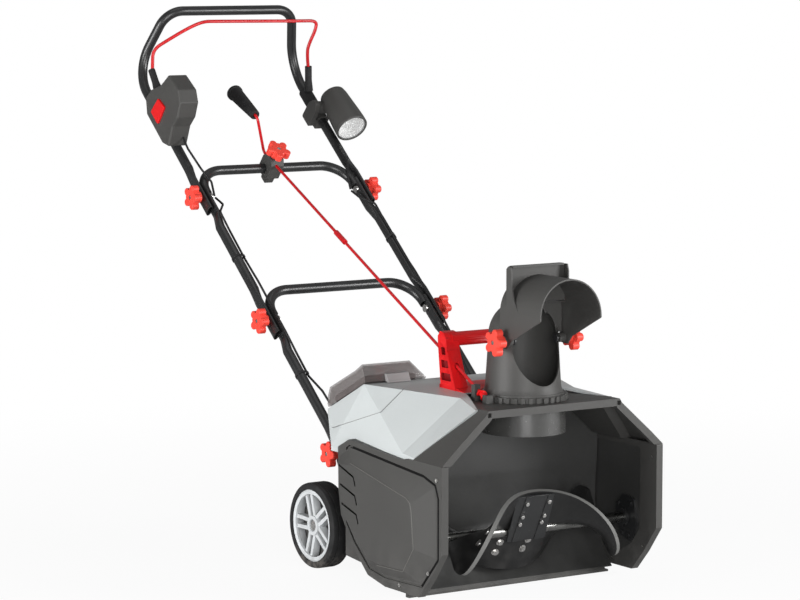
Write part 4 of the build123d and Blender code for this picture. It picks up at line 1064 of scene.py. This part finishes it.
@dataclass
class Auger(Assembly):
    """Blades with rubbed edges, paddles, shaft and their bolts."""

    blade_edge: float = 2.2
    paddle_edge: float = 0.8
    shaft_edge: float = 1.0
    bolt_edge: float = 0.5
    rim_share: float = 0.72
    rim_start: float = 29.6
    head_radius: float = 5.2
    head_height: float = 3.4
    washer_radius: float = 7.4
    washer_height: float = 1.2
    washer_sides: int = 28
    blade_bolts: Path = (
        (-47.0, -31.0, 89.0), (-49.0, -18.0, 68.0), (14.0, -35.0, 89.0), (6.0, -28.0, 71.0),
        (118.0, -104.0, 132.0), (136.0, -100.0, 116.0), (-128.0, -104.0, 130.0),
        (-146.0, -100.0, 112.0),
    )

    def build(self) -> None:
        """Makes the pieces of the auger."""
        self.blades()
        self.round_off("auger_paddles", self.paddle_edge)
        self.round_off("paddle_bolts", self.bolt_edge)
        self.round_off("auger_shaft", self.shaft_edge, Look.SHAFT)
        self.bolts()

    def blades(self) -> None:
        """The blades, whose outer edge the ground has rubbed pale."""
        centre, axis = joint("auger_spin")

        def rubbed(face: Face) -> bool:
            """Whether a face looks away from the shaft.

            Args:
                face: The face.

            Returns:
                True for the outer edge.
            """
            out = face.calc_center_median() - centre
            out -= axis * out.dot(axis)
            outer = face.normal.dot(out.normalized()) > self.rim_share
            return outer and out.length > self.rim_start

        looks = (Look.BLADE, Look.BLADE_RIM)
        self.round_off("auger_blades", self.blade_edge, *looks, segments=3, marked=rubbed)

    def bolts(self) -> None:
        """Hexagon bolts with washers along the blades, on both halves."""
        centre, axis = joint("auger_spin")
        skin = Form.of_node("auger_blades")
        tree = BVHTree.FromBMesh(skin.mesh)
        places = []
        for spot in self.blade_bolts:
            seat, normal, _, _ = tree.find_nearest(Vector(spot))
            places.append(facing(seat, -normal if normal.y > 0.0 else normal, axis))
        skin.mesh.free()
        there, back = Matrix.Translation(centre), Matrix.Translation(-centre)
        half_turn = there @ Matrix.Rotation(math.pi, 4, axis) @ back
        places += [half_turn @ place for place in places]
        top = self.washer_height
        form = Form().prism(self.washer_sides, self.washer_radius, -top, top)
        form.prism(HEXAGON, self.head_radius, top, top + self.head_height)
        form.soften(self.bolt_edge).copies(places)
        self.add(form, "blade_bolts", "auger", Slot.STEEL)


@dataclass
class Chute(Assembly):
    """Turning chute, deflector and the visor between them."""

    wall_edge: float = 0.9
    bolt_edge: float = 0.8
    visor_edge: float = 0.5
    lip_edge: float = 0.4
    dome_height: float = 478.0
    visor_inner: float = 53.0
    visor_outline: Outline = (
        (65.0, 481.5), (65.0, 527.0), (62.6, 541.6), (-62.6, 541.6), (-65.0, 527.0),
        (-65.0, 481.5),
    )
    visor_front: float = -65.4
    visor_thick: float = 3.0
    visor_steps: int = 28
    lip_depth: float = 21.6
    lip_thick: float = 1.6

    def build(self) -> None:
        """Makes the pieces of the chute."""
        self.round_off("chute", self.wall_edge)
        self.round_off("deflector", self.wall_edge)
        self.round_off("deflector_bolts", self.bolt_edge, Look.DULL_BOLT)
        self.visor()
        self.lip()

    def visor(self) -> None:
        """Wall round the chute's outlet that closes the snout behind it."""
        start = math.asin((self.visor_outline[0][1] - self.dome_height) / self.visor_inner)
        step = (math.pi - 2 * start) / self.visor_steps
        arc = [math.pi - start - index * step for index in range(self.visor_steps + 1)]
        rays = [Vector((math.cos(turn), math.sin(turn))) * self.visor_inner for turn in arc]
        inner = [(ray.x, self.dome_height + ray.y) for ray in rays]
        form = Form().slab(list(self.visor_outline) + inner, 0.0, self.visor_thick)
        seat = Vector((0.0, self.visor_front, 0.0))
        upright = Matrix.Translation(seat) @ Matrix.Rotation(math.pi / 2, 4, "X")
        form.place(upright).soften(self.visor_edge)
        self.add(form, "chute_visor", "chute", Slot.BLACK_PLASTIC)

    def lip(self) -> None:
        """Lip along the visor's top, in front of it."""
        half, top = self.visor_outline[2]
        near = self.visor_front + self.visor_thick
        far = near - self.lip_depth
        corners = [(-half, far), (half, far), (half, near), (-half, near)]
        form = Form().slab(corners, top - self.lip_thick, top).soften(self.lip_edge)
        self.add(form, "chute_visor_lip", "chute", Slot.BLACK_PLASTIC)


@dataclass
class Knobs(Assembly):
    """Star knobs with soft lobes and a nut set into each."""

    lobe_edge: float = 1.9
    nut_edge: float = 0.4
    nut_radius: float = 4.2
    nut_span: Corner = (-0.6, 2.2)
    nut_across: Point = (0.0, 0.3, 1.0)
    socket_depth: float = 3.0

    def build(self) -> None:
        """Makes every knob and its nut."""
        for item in frame["joints"]:
            if "knob" in item["name"]:
                self.knob(item["name"], item["child"])

    def knob(self, joint_name: str, body: str) -> None:
        """Makes one knob.

        Args:
            joint_name: The joint that the knob turns on.
            body: The knob's body.
        """
        node = frame["record"]["behaviour"]["bodies"][body][0]
        # The knobs' lighter red is painted light.
        self.round_off(node, self.lobe_edge, Look.KNOB, segments=3)
        point, axis = joint(joint_name)
        _, face = span_along(node, point, axis)
        seat = point + axis * (face - self.socket_depth)
        nut = Form().prism(HEXAGON, self.nut_radius, *self.nut_span).soften(self.nut_edge)
        nut.place(facing(seat, axis, Vector(self.nut_across)))
        self.add(nut, node + "_nut", body, Slot.STEEL)


@dataclass
class Handle(Assembly):
    """Brackets, bail, crank grip and switch box of the handle."""

    bracket_edge: float = 1.6
    box_edge: float = 7.0
    small_edge: float = 0.8
    grip_edge: float = 0.5
    grip_sides: int = 48
    bail_wire: float = 3.6
    bail_path: Path = (
        (-188.0, 1056.0, 930.0), (-186.0, 1059.0, 945.0), (-182.0, 1064.0, 978.0),
        (-158.0, 1042.0, 998.0), (-123.0, 1018.0, 1023.0), (-94.0, 1004.0, 1037.0),
        (-64.0, 1002.0, 1037.0), (148.0, 1003.0, 1035.0), (186.0, 1004.0, 1035.0),
        (185.0, 1008.0, 1015.0), (178.0, 1022.0, 987.0), (176.0, 1030.0, 966.0),
        (186.0, 1040.0, 930.0),
    )
    grip_profile: Outline = (
        (4.2, 0.0), (9.5, 0.0), (10.4, 2.0), (11.0, 10.0), (13.2, 55.0), (15.0, 96.0),
        (15.2, 106.0), (17.2, 107.5), (17.4, 113.0), (15.6, 115.5), (0.0, 115.5), (0.0, 80.0),
        (4.2, 80.0),
    )

    def build(self) -> None:
        """Makes the pieces of the handle."""
        self.round_off("rod_bracket", self.bracket_edge)
        self.round_off("switch_button", self.small_edge)
        self.round_off("lamp_clamp", self.bracket_edge)
        self.round_off("bail_boots", self.small_edge)
        self.round_off("switch_box", self.box_edge, segments=4)
        self.bail()
        self.grip()

    def bail(self) -> None:
        """The red wire bail with its soft bends."""
        form = Form().cord(self.bail_path, self.bail_wire, bend=True)
        self.add(form, "bail_wire", "bail", Slot.RED_METAL, replaced="bail")

    def grip(self) -> None:
        """The crank's long tapering grip with its flared end."""
        point, axis = joint("crank_grip_spin")
        start, _ = span_along("crank_grip", point, axis)
        form = Form().turn(self.grip_profile, self.grip_sides).soften(self.grip_edge)
        form.place(facing(point + axis * start, axis, SIDEWAYS))
        slot = slot_of("crank_grip")
        self.add(form, "crank_grip_turned", "crank_grip", slot, replaced="crank_grip")


@dataclass
class Lamp(Assembly):
    """Work lamp: barrel, facetted bowl, light source and lens."""

    barrel: Outline = (
        (31.2, 0.6), (33.6, 0.0), (35.5, 1.6), (35.5, 12.0), (34.6, 30.0), (30.2, 92.0),
        (28.0, 104.0), (21.0, 106.0), (0.0, 106.0), (0.0, 60.0), (24.0, 52.0), (31.2, 12.0),
    )
    slope: float = 40.2
    lens_inset: float = 2.5
    pivot_sides: int = 40
    pivot_radius: float = 14.0
    pivot_span: Corner = (0.3, 22.0)
    pivot_edge: float = 1.4
    rim: Outline = ((28.8, 4.2), (31.0, 4.2), (31.0, 6.4), (28.8, 6.4))
    fine_edge: float = 0.4
    facets: int = 22
    facet_angle: float = 12.0
    bowl: Outline = (
        (28.6, 6.6), (28.6, 7.6), (27.5, 18.0), (22.0, 32.0), (15.0, 41.0), (7.0, 46.0),
        (7.0, 48.0), (16.0, 43.0), (23.4, 33.6), (29.0, 19.0), (30.8, 7.6), (30.8, 6.6),
    )
    lens: Outline = ((0.0, 1.6), (24.0, 1.4), (29.5, 1.0), (30.8, 1.0), (30.8, 4.0), (0.0, 4.0))
    chip_sides: int = 24
    chip_radius: float = 6.8
    chip_span: Corner = (44.5, 47.5)
    dome_sides: int = 16
    dome_radius: float = 2.6
    dome_span: Corner = (42.5, 45.0)
    chip_edge: float = 0.7

    def axis(self) -> tuple[Vector, Vector]:
        """Finds the lamp's own axis.

        Returns:
            Middle of the lamp's mouth, and the direction into the lamp.
        """
        low, high = box_mm("lamp_lens")
        slope = math.radians(self.slope)
        inwards = Vector((0.0, math.cos(slope), math.sin(slope)))
        return (low + high) / 2 - inwards * self.lens_inset, inwards

    def build(self) -> None:
        """Makes the pieces of the lamp."""
        mouth, inwards = self.axis()
        place = facing(mouth, inwards, SIDEWAYS)
        barrel = Form().turn(self.barrel).place(place)
        self.add(barrel, "lamp_barrel", "lamp", Slot.BLACK_PLASTIC, replaced="lamp_body")
        pivot, across = joint("lamp_tilt")
        disc = Form().prism(self.pivot_sides, self.pivot_radius, *self.pivot_span)
        disc.soften(self.pivot_edge).place(facing(pivot, across, inwards))
        self.add(disc, "lamp_pivot", "lamp", Slot.BLACK_PLASTIC)
        rim = Form().turn(self.rim).soften(self.fine_edge).place(place)
        self.add(rim, "lamp_reflector_rim", "lamp", Slot.REFLECTOR, Look.REFLECTOR_RIM)
        # The bowl's pale finish is painted reflection.
        bowl = Form().turn(self.bowl, self.facets).place(place)
        sharp = self.facet_angle
        self.add(bowl, "lamp_bowl", "lamp", Slot.REFLECTOR, replaced="lamp_reflector", sharp=sharp)
        lens = Form().turn(self.lens, loop=False).soften(self.fine_edge).place(place)
        self.add(lens, "lamp_lens_turned", "lamp", Slot.LAMP_GLASS, replaced="lamp_lens")
        source = Form().prism(self.chip_sides, self.chip_radius, *self.chip_span)
        source.prism(self.dome_sides, self.dome_radius, *self.dome_span)
        source.soften(self.chip_edge).place(place)
        self.add(source, "lamp_light_source", "lamp", Slot.REFLECTOR, Look.LIGHT_SOURCE)


@dataclass
class BatteryBay(Assembly):
    """Battery, its tray, the smoked lid and the latch."""

    pack_edge: float = 2.6
    lid_edge: float = 1.4
    lid_angle: float = 15.0
    latch_edge: float = 1.2

    def build(self) -> None:
        """Makes the pieces of the battery bay."""
        self.round_off("battery", self.pack_edge, segments=3)
        self.round_off("battery_tray", self.latch_edge)
        self.round_off("battery_cover", self.lid_edge, angle=self.lid_angle)
        self.round_off("cover_latch", self.latch_edge, Look.LATCH)


@dataclass
class Wheels(Assembly):
    """Spoked rims with hub caps, and their tyres."""

    rim_edge: float = 1.2
    tyre_edge: float = 1.6
    cap_edge: float = 0.4
    cap_sides: int = 48
    cap_profile: Outline = (
        (0.0, -2.4), (11.4, -2.4), (11.4, 1.6), (10.2, 2.8), (7.6, 2.8), (7.0, 2.0), (4.2, 2.0),
        (3.4, 3.4), (0.0, 3.8),
    )
    cap_depth: float = 9.5
    well_depth: float = 24.0
    well_thick: float = 1.6
    barrel_wall: float = 4.2
    hub_radius: float = 19.0

    def build(self) -> None:
        """Makes both wheels."""
        for side in ("right", "left"):
            self.wheel(side)

    def wheel(self, side: str) -> None:
        """Makes one wheel.

        Args:
            side: The operator's side that the wheel is on.
        """
        body, rim, outwards = f"wheel_{side}", f"wheel_rim_{side}", OUTWARDS[side]
        self.round_off(rim, self.rim_edge)
        self.round_off(f"wheel_tyre_{side}", self.tyre_edge, segments=3)
        low, high = box_mm(rim)
        middle = (low + high) / 2
        face = Vector((low.x if side == "right" else high.x, middle.y, middle.z))
        cap = Form().turn(self.cap_profile, self.cap_sides, loop=False).soften(self.cap_edge)
        cap.place(facing(face - outwards * self.cap_depth, outwards, BACKWARDS))
        self.add(cap, f"hub_cap_{side}", body, Slot.WHEEL_PLASTIC)
        reach, back = (high.z - low.z) / 2 - self.barrel_wall, -self.well_thick
        ring = ((self.hub_radius, back), (reach, back), (reach, 0.0), (self.hub_radius, 0.0))
        seat = face - outwards * self.well_depth
        well = Form().turn(ring).place(facing(seat, outwards, BACKWARDS))
        self.add(well, f"wheel_well_{side}", body, Slot.BLACK_PLASTIC)


# ---- studio
@dataclass(frozen=True)
class SoftBox:
    """A square studio lamp."""

    name: str
    place: Point
    size: float
    power: float


@dataclass
class Studio:
    """Pale floor, soft lamps and the camera."""

    floor_size: float = 14.0
    floor_colour: Colour = (0.86, 0.86, 0.865)
    floor_glow: float = 0.93
    fade_start: float = 0.7
    fade_end: float = 2.6
    lamps: tuple[SoftBox, ...] = (
        SoftBox("side_light", (-3.4, 0.3, 0.5), 1.6, 125.0),
        SoftBox("key_light", (-1.7, -3.6, 0.9), 1.6, 108.0),
        SoftBox("front_light", (2.6, -2.6, 1.2), 1.4, 125.0),
        SoftBox("top_light", (0.0, 0.4, 3.4), 2.0, 10.0),
    )
    lamp_aim: Point = (0.0, 0.35, 0.4)
    world_light: float = 0.1
    world_shine: float = 0.3
    lens: float = 138.6
    camera_place: Point = (-3.2755, -4.6871, 1.1959)
    camera_tilt: float = 83.434
    camera_turn: float = -32.85

    def build(self) -> None:
        """Makes the floor, the lamps, the world and the camera."""
        self._floor()
        self._lamps()
        self._world()
        self._camera()

    def _floor(self) -> None:
        """A level sheet under the wheels that fades into the pale background."""
        shape = bmesh.new()
        bmesh.ops.create_grid(shape, x_segments=1, y_segments=1, size=self.floor_size / 2)
        mesh = bpy.data.meshes.new("studio_floor")
        shape.to_mesh(mesh)
        shape.free()
        floor = stand("studio_floor", mesh)
        graph = Graph("studio_floor")
        matt = graph.add("ShaderNodeBsdfDiffuse", sockets={"Color": self.floor_colour})
        glow = graph.add("ShaderNodeEmission", sockets={"Color": WHITE})
        fade = graph.measure("LENGTH", graph.place()).rise(self.fade_start, self.fade_end)
        factor = graph.ray("Camera") * (fade * (1.0 - self.floor_glow) + self.floor_glow)
        both = graph.add("ShaderNodeMixShader", sockets={0: factor, 1: matt, 2: glow})
        mesh.materials.append(graph.finish(both))

    def _lamps(self) -> None:
        """Four soft boxes, which all face the middle of the machine."""
        for box in self.lamps:
            data = bpy.data.lights.new(box.name, "AREA")
            data.shape = "SQUARE"
            data.size = box.size
            data.energy = box.power
            lamp = stand(box.name, data)
            lamp.location = box.place
            aim = Vector(self.lamp_aim) - Vector(box.place)
            lamp.rotation_euler = aim.to_track_quat("-Z", "Y").to_euler()

    def _world(self) -> None:
        """White to the camera, softer in reflections and softest as a light."""
        world = bpy.data.worlds.new("studio_world")
        bpy.context.scene.world = world
        graph = Graph(world)
        seen = graph.ray("Camera").larger(graph.ray("Transmission"))
        strength = seen.larger(graph.ray("Glossy") * self.world_shine).larger(self.world_light)
        sky = graph.add("ShaderNodeBackground", sockets={"Color": WHITE, "Strength": strength})
        graph.add("ShaderNodeOutputWorld", sockets={"Surface": sky})

    def _camera(self) -> None:
        """A long lens from the machine's front right."""
        data = bpy.data.cameras.new("camera")
        data.lens = self.lens
        camera = stand("camera", data)
        camera.location = self.camera_place
        turn = (math.radians(self.camera_tilt), 0.0, math.radians(self.camera_turn))
        camera.rotation_euler = turn
        bpy.context.scene.camera = camera


def dress_frame() -> None:
    """Gives every node of the frame the finish of its slot."""
    for name, node in frame["nodes"].items():
        for index, holder in enumerate(node.material_slots):
            node.data.materials[index] = material(slot_named(holder.material))
        LOG.info("dressed %s", name)


def main() -> None:
    """Builds the scene."""
    logging.basicConfig(level=logging.INFO, format="%(message)s")
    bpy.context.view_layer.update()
    for assembly in (Housing, Auger, Chute, Knobs, Handle, Lamp, BatteryBay, Wheels):
        assembly().build()
        LOG.info("finished the %s", assembly.__name__)
    dress_frame()
    Studio().build()
    bpy.context.scene.view_settings.view_transform = "Standard"


if __name__ == "__main__":
    main()
